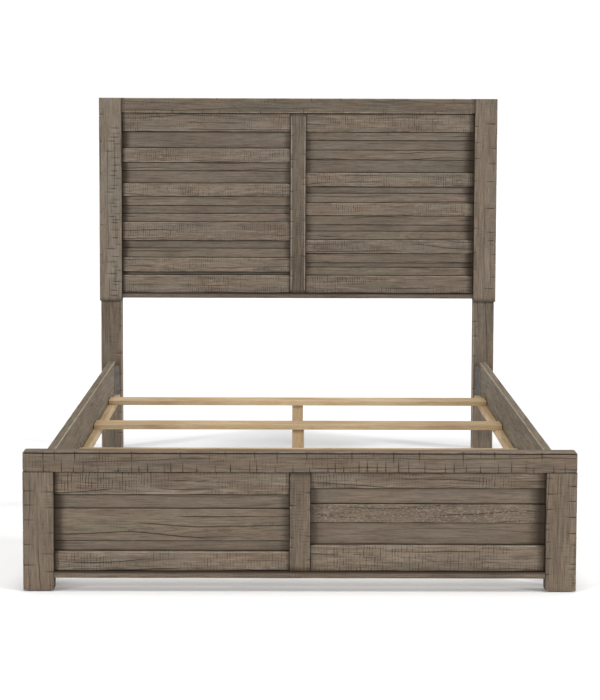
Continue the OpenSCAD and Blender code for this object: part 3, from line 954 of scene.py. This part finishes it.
def gridded_box(stations: Sequence[Sequence[float]]) -> bmesh.types.BMesh:
    """Makes a closed box whose faces are cut into cells.

    Args:
        stations: for each axis, the places of its cuts from the box's low side to its high side.

    Returns:
        The box as a bmesh.
    """
    bm = bmesh.new()
    bmesh.ops.create_cube(bm, size=1.0)
    for axis, places in enumerate(stations):
        along = [e for e in bm.edges if abs(e.verts[0].co[axis] - e.verts[1].co[axis]) > 0.5]
        bmesh.ops.subdivide_edges(bm, edges=along, cuts=len(places) - 2, use_grid_fill=True)
    for vert in bm.verts:
        for axis, places in enumerate(stations):
            vert.co[axis] = places[round((vert.co[axis] + 0.5) * (len(places) - 1))]
    return bm


def box_cutter(low: Sequence[float], high: Sequence[float]) -> bmesh.types.BMesh:
    """Makes a plain block that is cut away from a timber, as a saw would.

    Args:
        low: the block's low corner.
        high: its high corner.

    Returns:
        The block.
    """
    bm = bmesh.new()
    size = [h - l for l, h in zip(low, high)]
    middle = Vector([(h + l) / 2 for l, h in zip(low, high)])
    place = Matrix.Translation(middle) @ Matrix.Diagonal((*size, 1))
    bmesh.ops.create_cube(bm, size=1.0, matrix=place)
    return bm


def cut_away(mesh: bpy.types.Mesh, cutters: Sequence[bmesh.types.BMesh]) -> bpy.types.Mesh:
    """Cuts blocks and bores out of a mesh.

    Args:
        mesh: the mesh that is cut.
        cutters: closed shapes, which are freed afterwards.

    Returns:
        The mesh that is left.
    """
    work = placed("work", mesh)
    tools = []
    for shape in cutters:
        tool = placed("cutter", as_mesh(shape, "cutter"))
        modifier = work.modifiers.new("cut", "BOOLEAN")
        modifier.operation = "DIFFERENCE"
        modifier.solver = "EXACT"
        modifier.object = tool
        tools.append(tool)
    depsgraph = bpy.context.evaluated_depsgraph_get()
    result = bpy.data.meshes.new_from_object(work.evaluated_get(depsgraph))
    for obj in (work, *tools):
        data = obj.data
        bpy.data.objects.remove(obj)
        bpy.data.meshes.remove(data)
    return result


# ---------------------------------------------------------------- reading the frame


@dataclass(frozen=True)
class Solid:
    """One solid of a CAD node: its corners and its points."""

    low: Vector
    high: Vector
    points: np.ndarray


def solids(node: str) -> list[Solid]:
    """Splits a CAD node into its separate solids.

    Args:
        node: the CAD node's name.

    Returns:
        Its solids, from the highest to the lowest, then from left to right.
    """
    bm = bmesh.new()
    bm.from_mesh(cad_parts[node].data)
    bmesh.ops.remove_doubles(bm, verts=bm.verts[:], dist=WELD)
    seen: set = set()
    found = []
    for start in bm.verts:
        if start in seen:
            continue
        group, queue = [], [start]
        seen.add(start)
        while queue:
            vert = queue.pop()
            group.append(vert.co.copy())
            for edge in vert.link_edges:
                other = edge.other_vert(vert)
                if other not in seen:
                    seen.add(other)
                    queue.append(other)
        points = np.array(group)
        found.append(Solid(Vector(points.min(0)), Vector(points.max(0)), points))
    bm.free()
    return sorted(found, key=lambda s: (-round(s.high.z, 4), round(s.low.x, 4), round(s.low.y, 4)))


# ---------------------------------------------------------------- boards


class Kind(Enum):
    """How a board was worked, from the thickest to the thinnest."""

    SAWN = Finish.sawn_boards
    PLANED = Finish.planed_boards
    SMOOTH = Finish.smooth_boards

    @classmethod
    def of(cls, thickness: float) -> "Kind":
        """Tells a board's kind by its thickness.

        Args:
            thickness: the board's thickness, in metres.

        Returns:
            The kind.
        """
        sawn_above, planed_above = 17 * MM, 11 * MM
        if thickness > sawn_above:
            return cls.SAWN
        return cls.PLANED if thickness > planed_above else cls.SMOOTH


@dataclass
class BoardedPanel:
    """The boards of one panel, from the top down, between a post and the middle stile.

    nodes are the CAD nodes that hold them. flaked is the number of the one board that was worked
    against its grain. shade is how wide the painted shadow lies at their outer ends, and joint how
    wide the painted shade lies beside a prouder board, in millimetres.
    """

    name: str
    nodes: list[str]
    seed: int
    tone: float = 0.51
    cast: float = 0.0
    flaked: Optional[int] = None
    shade: float = 32.0
    joint: float = 3.2

    def build(self, shop: Workshop) -> None:
        """Builds each board: painted highlight on rubbed proud arrises, painted shade where it lies
        back.

        Args:
            shop: the workshop that finishes the pieces.
        """
        found = [(solid, node) for node in self.nodes for solid in solids(node)]
        found.sort(key=lambda pair: -pair[0].high.z)
        rng = random.Random(self.seed)
        fronts = [solid.low.y for solid, _ in found]
        for i, (solid, node) in enumerate(found):
            kind = Kind.of(solid.high.y - solid.low.y)
            above = fronts[i - 1] if i else -math.inf
            below = fronts[i + 1] if i + 1 < len(found) else -math.inf
            # Painted shadow at both ends of the board, narrower on a proud sawn board, fainter at
            # the inner end.
            band = 0.45 * self.shade if kind is Kind.SAWN else self.shade
            inner, outer = inner_and_outer(-1 if solid.low.x < 0 else 1)
            worn, glazed = [], [ShadeAndGlazeBand(outer, band), ShadeAndGlazeBand(inner, 0.75 * band, 0.6)]
            # Painted shade beside a prouder board; pale arrises, partly a painted highlight, where
            # this one is proud.
            for side, other in ((Side.TOP, above), (Side.UNDER, below)):
                if other < solid.low.y - MM:
                    glazed.append(ShadeAndGlazeBand(side, self.joint, 0.72))
                else:
                    worn.append(side)
            ease = 2.2 if kind is Kind.SAWN else 1.4
            board = Timber(f"{self.name}_board_{i + 1:02d}", solid.low, solid.high, 0,
                           self.seed * 100 + i, ease=ease, end_ease=1.0, glazed=tuple(glazed),
                           worn=tuple(worn), cell=14.0, across=7.0,
                           relief=0.9 if kind is Kind.SAWN else 0.5,
                           rub=2.6 if kind is Kind.SAWN else 1.0,
                           tone=self.tone + rng.uniform(-0.07, 0.06), cast=self.cast, polish_and_highlight=0.85,
                           flake=0.8 if i == self.flaked else 0.0)
            shop.piece(board.name, board.build(), kind.value, [node])


# ---------------------------------------------------------------- headboard and footboard


def corners(node: str) -> tuple[Vector, Vector]:
    """Gives a CAD node's low and high corners as copies."""
    low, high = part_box(node)
    return low.copy(), high.copy()


@dataclass
class Headboard:
    """Posts, rails, stile, boards and backing panel of the headboard, and its two legs.

    cast is how cool its wood looks, and lap_gap the clearance of a leg's lap, in millimetres.
    """

    seed: int = 11
    cast: float = 0.035
    lap_gap: float = 0.2
    bore_depth: float = 40.0

    def build(self, shop: Workshop) -> None:
        """Builds every wooden piece of the headboard.

        Args:
            shop: the workshop that finishes the pieces.
        """
        for side, sign in HANDS:
            self._post(shop, side, sign)
            self._leg(shop, side, sign)
            nodes = [f"headboard_{side}_{kind}_boards" for kind in ("thick", "medium", "thin")]
            # Painted shadow at the boards' outer ends, wider on the right half, where the right
            # lamp throws it.
            BoardedPanel(f"headboard_{side}", nodes, self.seed + sign, 0.62, self.cast,
                         shade=42.0 + 8.0 * sign).build(shop)
        self._rails(shop)
        upright(shop, "headboard", seed=33, polish_and_highlight=1.0, cast=self.cast)
        backing(shop, "headboard_back_panel", 41)

    def _rails(self, shop: Workshop) -> None:
        """Builds the two rails between the posts.

        Args:
            shop: the workshop that finishes the pieces.
        """
        post_in = corners("headboard_post_right")[0].x
        for part, seed in (("top_rail", 31), ("bottom_rail", 32)):
            node = f"headboard_{part}"
            low, high = corners(node)
            low.x, high.x = -post_in, post_in
            # Painted shade at the rails' ends by the posts, and along the bottom rail's top under
            # the boards.
            look = {"glazed": (ShadeAndGlazeBand(Side.LEFT, 5.0), ShadeAndGlazeBand(Side.RIGHT, 5.0))}
            if part == "top_rail":
                look["rows"] = (Nicks(Side.FRONT, Side.UNDER, (60, 190), (10, 24), 0.9),
                                Nicks(Side.FRONT, Side.TOP, (90, 260), (8, 18), 0.9))
                # Painted shade on the top rail's underside, behind its front arris.
                look["recessed"] = (Side.UNDER,)
            else:
                look["glazed"] += (ShadeAndGlazeBand(Side.TOP, 5.0),)
                look["worn"] = ()
            shop.timber(Timber(node, low, high, 0, seed, tone=0.43, cast=self.cast, **look),
                        Finish.weathered_frame)

    def _post(self, shop: Workshop, side: str, sign: int) -> None:
        """Builds a post, with the seat for its leg's lap cut from the back.

        Args:
            shop: the workshop that finishes the piece.
            side: left or right.
            sign: -1 on the left and 1 on the right.
        """
        node = f"headboard_post_{side}"
        low, high = corners(node)
        inner, outer = inner_and_outer(sign)
        pitch, inset = ((34, 120), (0, 18)) if sign > 0 else ((11, 34), (4, 42))
        rows = (Nicks(Side.FRONT, Side.RIGHT, pitch, (18, 44), half_width=2.2, inset=inset,
                      start=90 if sign < 0 else 20),
                Nicks(Side.FRONT, Side.LEFT, (50, 170), (10, 34)),
                Nicks(outer, Side.FRONT, (60, 180), (10, 26)),
                Nicks(outer, Side.BACK, (60, 180), (10, 26)))
        lap_low, lap_high = lap_box(side)
        gap = self.lap_gap * MM
        left = lap_low.x if sign > 0 else low.x - BEYOND
        right = high.x + BEYOND if sign > 0 else lap_high.x
        seat = box_cutter((left, lap_low.y - gap, low.z - BEYOND),
                          (right, high.y + BEYOND, lap_high.z + gap))
        # Painted shade at the post's lower end and on its inner side, behind the front arris.
        shop.timber(Timber(node, low, high, 2, self.seed + 1 + sign, rows=rows, cutters=[seat],
                           polish_and_highlight=0.6, glazed=(ShadeAndGlazeBand(Side.UNDER, 5.0),), recessed=(inner,),
                           tone=0.75 - 0.07 * sign, cast=0.055 - 0.015 * sign),
                    Finish.weathered_frame)

    def _leg(self, shop: Workshop, side: str, sign: int) -> None:
        """Builds a leg: a full-length timber with its upper front cut away for the lap.

        Args:
            shop: the workshop that finishes the piece.
            side: left or right.
            sign: -1 on the left and 1 on the right.
        """
        node = f"headboard_leg_{side}"
        low, high = corners(node)
        lap_low, lap_high = lap_box(side)
        shoulder = corners(f"headboard_post_{side}")[0].z
        front = box_cutter((low.x - BEYOND, low.y - BEYOND, shoulder),
                           (high.x + BEYOND, lap_low.y, high.z + BEYOND))
        left = low.x - BEYOND if sign > 0 else lap_high.x
        right = lap_low.x if sign > 0 else high.x + BEYOND
        outside = box_cutter((left, low.y - BEYOND, shoulder),
                             (right, high.y + BEYOND, high.z + BEYOND))
        bores = [self._counterbore(washer) for washer in solids("leg_washers")
                 if washer.low.x * sign > 0]
        inner, outer = inner_and_outer(sign)
        rows = (Nicks(Side.FRONT, inner, (60, 170), (12, 30)),
                Nicks(outer, Side.FRONT, (70, 200), (8, 22)))
        shop.timber(Timber(node, low, high, 2, self.seed + 4 + sign, rows=rows,
                           cutters=[front, outside, *bores], tone=0.51, cast=self.cast),
                    Finish.weathered_frame)

    def _counterbore(self, washer: Solid) -> bmesh.types.BMesh:
        """Makes the round sinking around a bolt's washer.

        Args:
            washer: the washer.

        Returns:
            The closed shape that is cut away.
        """
        radius = (washer.high.x - washer.low.x) / 2 + MM
        depth = self.bore_depth * MM
        middle = (washer.low + washer.high) / 2
        middle.y = washer.low.y + depth / 2
        turn = Matrix.Rotation(math.pi / 2, 4, "X")
        bm = bmesh.new()
        bmesh.ops.create_cone(bm, cap_ends=True, segments=40, radius1=radius, radius2=radius,
                              depth=depth, matrix=Matrix.Translation(middle) @ turn)
        return bm


def lap_box(side: str) -> tuple[Vector, Vector]:
    """Finds the lap of a headboard leg: its points above the post's lower end.

    Args:
        side: left or right.

    Returns:
        The lap's low and high corners.
    """
    shoulder = corners(f"headboard_post_{side}")[0].z
    points = np.array([v.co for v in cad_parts[f"headboard_leg_{side}"].data.vertices])
    points = points[points[:, 2] > shoulder + MM]
    return Vector(points.min(0)), Vector(points.max(0))


def upright(shop: Workshop, board: str, seed: int, polish_and_highlight: float, cast: float = 0.0) -> None:
    """Builds a middle stile, from the bottom rail's top to the top rail's underside.

    Args:
        shop: the workshop that finishes the piece.
        board: headboard or footboard.
        seed: where its random draws start.
        polish_and_highlight: how rubbed it looks, and how strong its painted highlight is.
        cast: how cool it looks.
    """
    low, high = corners(f"{board}_stile")
    low.z, high.z = corners(f"{board}_bottom_rail")[1].z, corners(f"{board}_top_rail")[0].z
    rows = tuple(Nicks(Side.FRONT, edge, (28, 110), (10, 26), 1.0)
                 for edge in (Side.LEFT, Side.RIGHT))
    # Painted shade at the stile's ends and on both sides, behind the front arris.
    shop.timber(Timber(f"{board}_stile", low, high, 2, seed, rows=rows, tone=0.37, cast=cast,
                       ease=3.2, polish_and_highlight=polish_and_highlight, recessed=(Side.LEFT, Side.RIGHT),
                       glazed=(ShadeAndGlazeBand(Side.UNDER, 6.0), ShadeAndGlazeBand(Side.TOP, 6.0))),
                Finish.weathered_frame)


def backing(shop: Workshop, node: str, seed: int) -> None:
    """Builds a backing panel of stained plywood.

    Args:
        shop: the workshop that finishes the piece.
        node: the CAD node.
        seed: where its random draws start.
    """
    shop.timber(Timber(node, *corners(node), 0, seed, ease=0.5, end_ease=0.5, cell=40.0,
                       across=40.0, relief=0.1, rub=0.0, worn=()), Finish.backing_panel, "_sheet")


@dataclass
class Footboard:
    """Legs, rails, stile, boards and backing panel of the footboard."""

    seed: int = 51

    def build(self, shop: Workshop) -> None:
        """Builds every wooden piece of the footboard.

        Args:
            shop: the workshop that finishes the pieces.
        """
        for side, sign in HANDS:
            self._leg(shop, side, sign)
            nodes = sorted(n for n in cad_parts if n.startswith(f"footboard_board_{side}_"))
            # Painted shadow at the boards' outer ends, wider on the right half, where the right
            # lamp throws it.
            BoardedPanel(f"footboard_{side}", nodes, self.seed + 3 + sign,
                         flaked=2 if sign > 0 else None, shade=42.0 + 8.0 * sign).build(shop)
        self._rails(shop)
        upright(shop, "footboard", seed=self.seed + 7, polish_and_highlight=0.65)
        backing(shop, "footboard_back_panel", self.seed + 8)

    def _leg(self, shop: Workshop, side: str, sign: int) -> None:
        """Builds a leg, up to the underside of the top rail.

        Args:
            shop: the workshop that finishes the piece.
            side: left or right.
            sign: -1 on the left and 1 on the right.
        """
        node = f"footboard_leg_{side}"
        low, high = corners(node)
        high.z = corners("footboard_top_rail")[0].z
        inner, outer = inner_and_outer(sign)
        pitch, reach = ((34, 80), (24, 54)) if sign < 0 else ((16, 52), (10, 42))
        rows = (Nicks(Side.FRONT, inner, pitch, reach), Nicks(Side.FRONT, outer, pitch, reach),
                Nicks(outer, Side.FRONT, (40, 120), (8, 22)),
                Nicks(outer, Side.BACK, (60, 140), (8, 20)))
        # Painted shade under the top rail and on the leg's inner side, behind the front arris.
        shop.timber(Timber(node, low, high, 2, self.seed + sign, rows=rows,
                           tone=0.55 - 0.03 * sign, polish_and_highlight=0.4, glazed=(ShadeAndGlazeBand(Side.TOP, 2.5),),
                           recessed=(inner,)), Finish.weathered_frame)

    def _rails(self, shop: Workshop) -> None:
        """Builds the top rail over the legs and the bottom rail between them.

        Args:
            shop: the workshop that finishes the pieces.
        """
        rows = (Nicks(Side.FRONT, Side.UNDER, (20, 66), (16, 48)),
                Nicks(Side.FRONT, Side.TOP, (34, 150), (18, 52), 1.2),
                Nicks(Side.TOP, Side.BACK, (90, 260), (8, 20), 0.9))
        node = "footboard_top_rail"
        # Painted shade on the rail's underside, behind its front arris.
        shop.timber(Timber(node, *corners(node), 0, self.seed + 5, ease=3.0, end_ease=7.0,
                           rows=rows, tone=0.48, polish_and_highlight=0.6, recessed=(Side.UNDER,),
                           scores=(Score(Side.FRONT, Side.TOP, 5.0, half_width=3.0,
                                         strength=1.7),)), Finish.weathered_frame)
        node = "footboard_bottom_rail"
        low, high = corners(node)
        high.x = corners("footboard_leg_right")[0].x
        low.x = -high.x
        # Painted shade at the rail's ends and along its top, under the boards.
        shop.timber(Timber(node, low, high, 0, self.seed + 6, worn=(), tone=0.38,
                           glazed=(ShadeAndGlazeBand(Side.LEFT, 3.0), ShadeAndGlazeBand(Side.RIGHT, 3.0),
                                   ShadeAndGlazeBand(Side.TOP, 5.0))), Finish.weathered_frame)


@dataclass
class Base:
    """Side rails, cleats, slats and centre legs.

    plain_ease and plain_rub are how far the arrises of its bare pine are eased and rubbed, in
    millimetres.
    """

    seed: int = 71
    plain_ease: float = 1.5
    plain_rub: float = 0.3

    def build(self, shop: Workshop) -> None:
        """Builds the wooden pieces between the headboard and the footboard.

        Args:
            shop: the workshop that finishes the pieces.
        """
        for side, sign in HANDS:
            outer = inner_and_outer(sign)[1]
            node = f"side_rail_{side}"
            rows = (Nicks(outer, Side.UNDER, (30, 110), (14, 40)),
                    Nicks(outer, Side.TOP, (50, 190), (12, 34)))
            shop.timber(Timber(node, *corners(node), 1, self.seed + sign, rows=rows, across=12.0,
                               tone=0.5), Finish.rail_timber)
            self._plain(shop, f"cleat_{side}", 1, 4 + sign, cell=60.0, relief=0.1)
        for node in sorted(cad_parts):
            if node.startswith("slat_") and node != "slat_screws":
                number = int(node[-1])
                self._plain(shop, node, 0, 10 + number, cell=50.0, across=12.0, relief=0.15,
                            tone=0.5 + 0.02 * number)
            elif node.startswith("support_leg_") and node != "support_leg_screws":
                self._plain(shop, node, 2, 20 + int(node[-1]), cell=25.0, relief=0.15)

    def _plain(self, shop: Workshop, node: str, grain: int, seed: int, **look: float) -> None:
        """Builds a length of bare pine.

        Args:
            shop: the workshop that finishes the piece.
            node: the CAD node.
            grain: the axis that its fibres run along.
            seed: its number among the base's random draws.
            look: further fields of the timber.
        """
        shop.timber(Timber(node, *corners(node), grain, self.seed + seed, ease=self.plain_ease,
                           rub=self.plain_rub, **look), Finish.slat_timber)


# ---------------------------------------------------------------- hardware


@dataclass(frozen=True)
class Screw:
    """A countersunk wood screw with a cross recess. Its head's middle is the origin, +Z outward.

    head and shank are radii. All its sizes are in metres.
    """

    head: float
    shank: float
    length: float
    rim: float = 0.15 * MM

    def body(self, place: Matrix) -> bmesh.types.BMesh:
        """Turns the screw's shape and puts it in place.

        Args:
            place: where its head is and which way it points.

        Returns:
            The closed shape.
        """
        bm = turned([(0.0, 0.0), (self.head - self.rim, 0.0), (self.head, -self.rim),
                     (self.shank, self.shank - self.head),
                     (self.shank, 2 * self.shank - self.length), (0.0, -self.length)], 24)
        bm.transform(place)
        return bm

    def recess(self, place: Matrix) -> bmesh.types.BMesh:
        """Makes the cross that is cut from the head, tapered like a driver's tip.

        Args:
            place: where the head is and which way it points.

        Returns:
            The closed shape that is cut away.
        """
        half, arm, depth = 0.13 * self.head, 0.52 * self.head, 0.45 * self.head
        bm = bmesh.new()
        bmesh.ops.create_cube(bm, size=2 * half)
        sides = [f for f in bm.faces if abs(f.normal.z) < 0.5]
        for arm_face in bmesh.ops.extrude_discrete_faces(bm, faces=sides)["faces"]:
            bmesh.ops.translate(bm, verts=arm_face.verts, vec=arm_face.normal * (arm - half))
        for vert in bm.verts:
            taper = 0.75 if vert.co.z < 0 else 1.0
            vert.co = (vert.co.x * taper, vert.co.y * taper, math.copysign(depth, vert.co.z))
        bm.transform(place)
        return bm


def gathered(parts: Iterable[bmesh.types.BMesh], name: str) -> bpy.types.Mesh:
    """Puts separate shapes into one mesh and frees them.

    Args:
        parts: the shapes.
        name: the mesh's name.

    Returns:
        The mesh that holds them all.
    """
    whole = bmesh.new()
    for part in parts:
        mesh = as_mesh(part, name)
        whole.from_mesh(mesh)
        bpy.data.meshes.remove(mesh)
    return as_mesh(whole, name)


def screws(shop: Workshop, node: str) -> None:
    """Builds a group of screws where the CAD node's solids are.

    Args:
        shop: the workshop that finishes the piece.
        node: the CAD node that holds the screws.
    """
    rng = random.Random(node)
    at_end = 0.05 * MM
    bodies, crosses = [], []
    for solid in solids(node):
        size = solid.high - solid.low
        axis = max(range(3), key=lambda i: size[i])
        middle = (solid.low + solid.high) / 2
        across = [i for i in range(3) if i != axis]
        spread = np.abs(solid.points[:, across] - np.array([middle[i] for i in across])).max(1)
        low_end, high_end = (spread[np.abs(solid.points[:, axis] - end[axis]) < at_end].max()
                             for end in (solid.low, solid.high))
        way = Vector((0, 0, 0))
        way[axis] = 1 if high_end > low_end else -1
        top = middle.copy()
        top[axis] = (solid.high if high_end > low_end else solid.low)[axis]
        turn = way.to_track_quat("Z", "Y").to_matrix().to_4x4()
        place = Matrix.Translation(top) @ turn @ Matrix.Rotation(rng.uniform(0, math.pi), 4, "Z")
        screw = Screw(size[across[0]] / 2, min(low_end, high_end), size[axis])
        bodies.append(screw.body(place))
        crosses.append(screw.recess(place))
    recesses = bmesh.new()
    recesses.from_mesh(gathered(crosses, "crosses"))
    mesh = cut_away(gathered(bodies, node), [recesses])
    shop.piece(node + "_set", mesh, Finish.screw_steel, [node])


def softened(shop: Workshop, node: str, finish: Finish, radius: float = 0.35) -> None:
    """Builds a copy of a CAD node with its sharp edges broken.

    Args:
        shop: the workshop that finishes the piece.
        node: the CAD node.
        finish: the piece's finish.
        radius: how far the edges are broken, in millimetres.
    """
    bm = bmesh.new()
    bm.from_mesh(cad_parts[node].data)
    bmesh.ops.remove_doubles(bm, verts=bm.verts[:], dist=WELD)
    flat, sharp_from = math.radians(2), math.radians(35)
    bmesh.ops.dissolve_limit(bm, angle_limit=flat, verts=bm.verts[:], edges=bm.edges[:])
    sharp = [e for e in bm.edges if e.is_manifold and e.calc_face_angle(0) > sharp_from]
    bmesh.ops.bevel(bm, geom=sharp, offset=radius * MM, segments=2, profile=0.5, affect="EDGES",
                    material=-1, clamp_overlap=True)
    for polygon in bm.faces:
        polygon.smooth = False
    shop.piece(node + "_made", as_mesh(bm, node), finish, [node])


@dataclass
class Hardware:
    """Plates, screws, bolts, glides and levelling feet.

    thread is the pitch of a foot's thread, crest and root its radii, hexagon the radius of a foot's
    hex and stem_start how high the stem starts above the floor, in millimetres.
    """

    thread: float = 1.25
    crest: float = 4.0
    root: float = 3.4
    hexagon: float = 7.4
    stem_start: float = 12.0

    def build(self, shop: Workshop) -> None:
        """Builds every metal and plastic piece.

        Args:
            shop: the workshop that finishes the pieces.
        """
        softened(shop, "hook_plates", Finish.plate_steel)
        softened(shop, "slotted_plates", Finish.plate_steel)
        softened(shop, "leg_bolts", Finish.bolt_steel)
        softened(shop, "leg_washers", Finish.bolt_steel, 0.2)
        softened(shop, "leg_inserts", Finish.insert_brass, 0.2)
        softened(shop, "levelling_nuts", Finish.screw_steel, 0.2)
        softened(shop, "corner_glides", Finish.glide_plastic, 0.8)
        for node in sorted(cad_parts):
            if node.endswith("_screws"):
                screws(shop, node)
            elif node.startswith("levelling_foot"):
                low, high = corners(node)
                middle = Vector(((low.x + high.x) / 2, (low.y + high.y) / 2, low.z))
                for ending, bm, finish in (
                        ("_pad", self._pad((high.x - low.x) / 2), Finish.levelling_foot),
                        ("_stem", self._stem(high.z - low.z), Finish.bolt_steel)):
                    bmesh.ops.translate(bm, verts=bm.verts[:], vec=middle)
                    shop.piece(node + ending, as_mesh(bm, node + ending), finish, [node],
                               body=node)

    def _pad(self, radius: float) -> bmesh.types.BMesh:
        """Makes a foot's moulded pad with its hex.

        Args:
            radius: the pad's radius, in metres.

        Returns:
            The pad and the hex, standing on the origin.
        """
        rim = [(2.0, 0.0), (0.4, 0.8), (0.0, 2.2), (0.0, 3.8), (0.8, 4.9), (4.0, 6.1)]
        crown = [(9.0, 7.4), (8.0, 8.0), (0.0, 8.0)]
        bm = turned([(0.0, 0.0), *((radius - inward * MM, z * MM) for inward, z in rim),
                     *((r * MM, z * MM) for r, z in crown)], 48)
        size = self.hexagon * MM
        hexagon = bmesh.ops.create_cone(bm, cap_ends=True, segments=6, radius1=size, radius2=size,
                                        depth=4 * MM,
                                        matrix=Matrix.Translation((0, 0, 10 * MM)))["verts"]
        edges = list({e for v in hexagon for e in v.link_edges})
        bmesh.ops.bevel(bm, geom=edges, offset=0.5 * MM, segments=2, profile=0.5, affect="EDGES",
                        material=-1)
        return bm

    def _stem(self, end: float) -> bmesh.types.BMesh:
        """Makes a foot's threaded stem, its thread drawn as rings.

        Args:
            end: the stem's top above the pad's underside, in metres.

        Returns:
            The stem, above the origin.
        """
        crest, root, start = self.crest * MM, self.root * MM, self.stem_start * MM
        turns = int((end - start) / (self.thread * MM)) - 1
        profile = [(0.0, start), (root, start)]
        for i in range(turns):
            base = start + i * self.thread * MM
            profile += [(root, base + 0.15 * MM), (crest, base + 0.6 * MM),
                        (crest, base + 0.75 * MM), (root, base + 1.2 * MM)]
        profile += [(root, end - 0.5 * MM), (root - 0.5 * MM, end), (0.0, end)]
        return turned(profile, 24)


def turned(profile: Sequence[tuple[float, float]], steps: int) -> bmesh.types.BMesh:
    """Turns a profile around the Z axis, as on a lathe.

    Args:
        profile: radius and height of each point, starting and ending on the axis.
        steps: how many flats the turned shape has.

    Returns:
        The closed shape as a bmesh.
    """
    bm = bmesh.new()
    verts = [bm.verts.new((radius, 0, height)) for radius, height in profile]
    edges = [bm.edges.new(pair) for pair in zip(verts, verts[1:])]
    bmesh.ops.spin(bm, geom=verts + edges, axis=(0, 0, 1), cent=(0, 0, 0), steps=steps,
                   angle=2 * math.pi, use_merge=True)
    bmesh.ops.remove_doubles(bm, verts=bm.verts[:], dist=0.4 * WELD)
    bmesh.ops.recalc_face_normals(bm, faces=bm.faces[:])
    for polygon in bm.faces:
        polygon.smooth = True
    return bm


# ---------------------------------------------------------------- studio


@dataclass(frozen=True)
class Studio:
    """Pale floor, soft light from both sides of the front, and the camera at the bed's foot."""

    sensor: float = 36.0         # millimetres along the picture's long side
    lens: float = 87.1046        # millimetres
    place: tuple[float, float, float] = (-0.0319, -6.206, 1.4988)
    pitch: float = 4.078         # degrees below the horizon
    yaw: float = -0.322          # degrees, to the left
    roll: float = 0.196          # degrees
    shift: float = -0.18         # share of the picture's long side
    floor_size: float = 60.0     # metres from the middle to an edge

    def build(self) -> None:
        """Builds the floor, the light and the camera."""
        self._floor()
        self._light()
        self._camera()

    def _camera(self) -> None:
        """Places the camera, pitched down with a small shift that keeps the uprights upright."""
        data = bpy.data.cameras.new("camera")
        data.sensor_width = self.sensor
        data.lens = self.lens
        data.shift_y = self.shift
        camera = placed("camera", data)
        turn = (Matrix.Rotation(math.radians(self.yaw), 4, "Z")
                @ Matrix.Rotation(math.radians(90 - self.pitch), 4, "X")
                @ Matrix.Rotation(math.radians(self.roll), 4, "Z"))
        camera.matrix_world = Matrix.Translation(self.place) @ turn
        bpy.context.scene.camera = camera

    def _floor(self) -> None:
        """Builds a wide pale floor with a faint mottle."""
        bm = bmesh.new()
        bmesh.ops.create_grid(bm, x_segments=8, y_segments=8, size=self.floor_size)
        floor = placed("studio_floor", as_mesh(bm, "studio_floor"))
        material, tree = new_material("pale_floor")
        pat = Pattern(tree, add(tree, "TexCoord").outputs["Object"])
        colour = add(tree, "Mix", {0: pat.streaks(900, 900, 3.0), MIX_A: linear("#f4f4f4"),
                                   MIX_B: linear("#f8f8f7")}, data_type="RGBA")
        shader = add(tree, "BsdfPrincipled", {"Base Color": colour, "Roughness": 0.9,
                                              "Specular IOR Level": 0.1})
        add(tree, "OutputMaterial", {"Surface": shader})
        floor.data.materials.append(material)

    def _light(self) -> None:
        """Lights the studio: white surroundings and broad lights from both front corners.

        Only the background is seen white. The light that it casts is dimmer, so that the wood keeps
        its shade.
        """
        world = bpy.data.worlds.new("studio")
        bpy.context.scene.world = world
        world.use_nodes = True
        tree = world.node_tree
        tree.nodes.clear()
        seen = add(tree, "LightPath").outputs["Is Camera Ray"]
        fill = add(tree, "Background", {"Color": linear("#fafaff"), "Strength": 0.22})
        white = add(tree, "Background", {"Color": (1, 1, 1, 1), "Strength": 1.05})
        both = add(tree, "MixShader", {0: seen, 1: fill, 2: white})
        add(tree, "OutputWorld", {"Surface": both})
        # Each light's place round the bed, its strength and its width, with angles in degrees.
        for name, azimuth, elevation, strength, spread in (
                ("left_key", -56, 20, 1.38, 9), ("right_key", 64, 20, 1.6, 8),
                ("overhead", 0, 86, 2.0, 30), ("rear_fill", 160, 35, 0.5, 30)):
            data = bpy.data.lights.new(name, "SUN")
            data.energy = strength
            data.angle = math.radians(spread)
            lamp = placed(name, data)
            a, e = math.radians(azimuth), math.radians(elevation)
            toward = Vector((math.sin(a) * math.cos(e), -math.cos(a) * math.cos(e), math.sin(e)))
            lamp.rotation_euler = toward.to_track_quat("Z", "Y").to_euler()
        bpy.context.scene.view_settings.view_transform = "Standard"


def main() -> None:
    """Builds the studio and the bed."""
    logging.basicConfig(level=logging.INFO, format="%(name)s %(message)s")
    Studio().build()
    shop = Workshop()
    Headboard().build(shop)
    Footboard().build(shop)
    Base().build(shop)
    Hardware().build(shop)


if __name__ == "__main__":
    main()
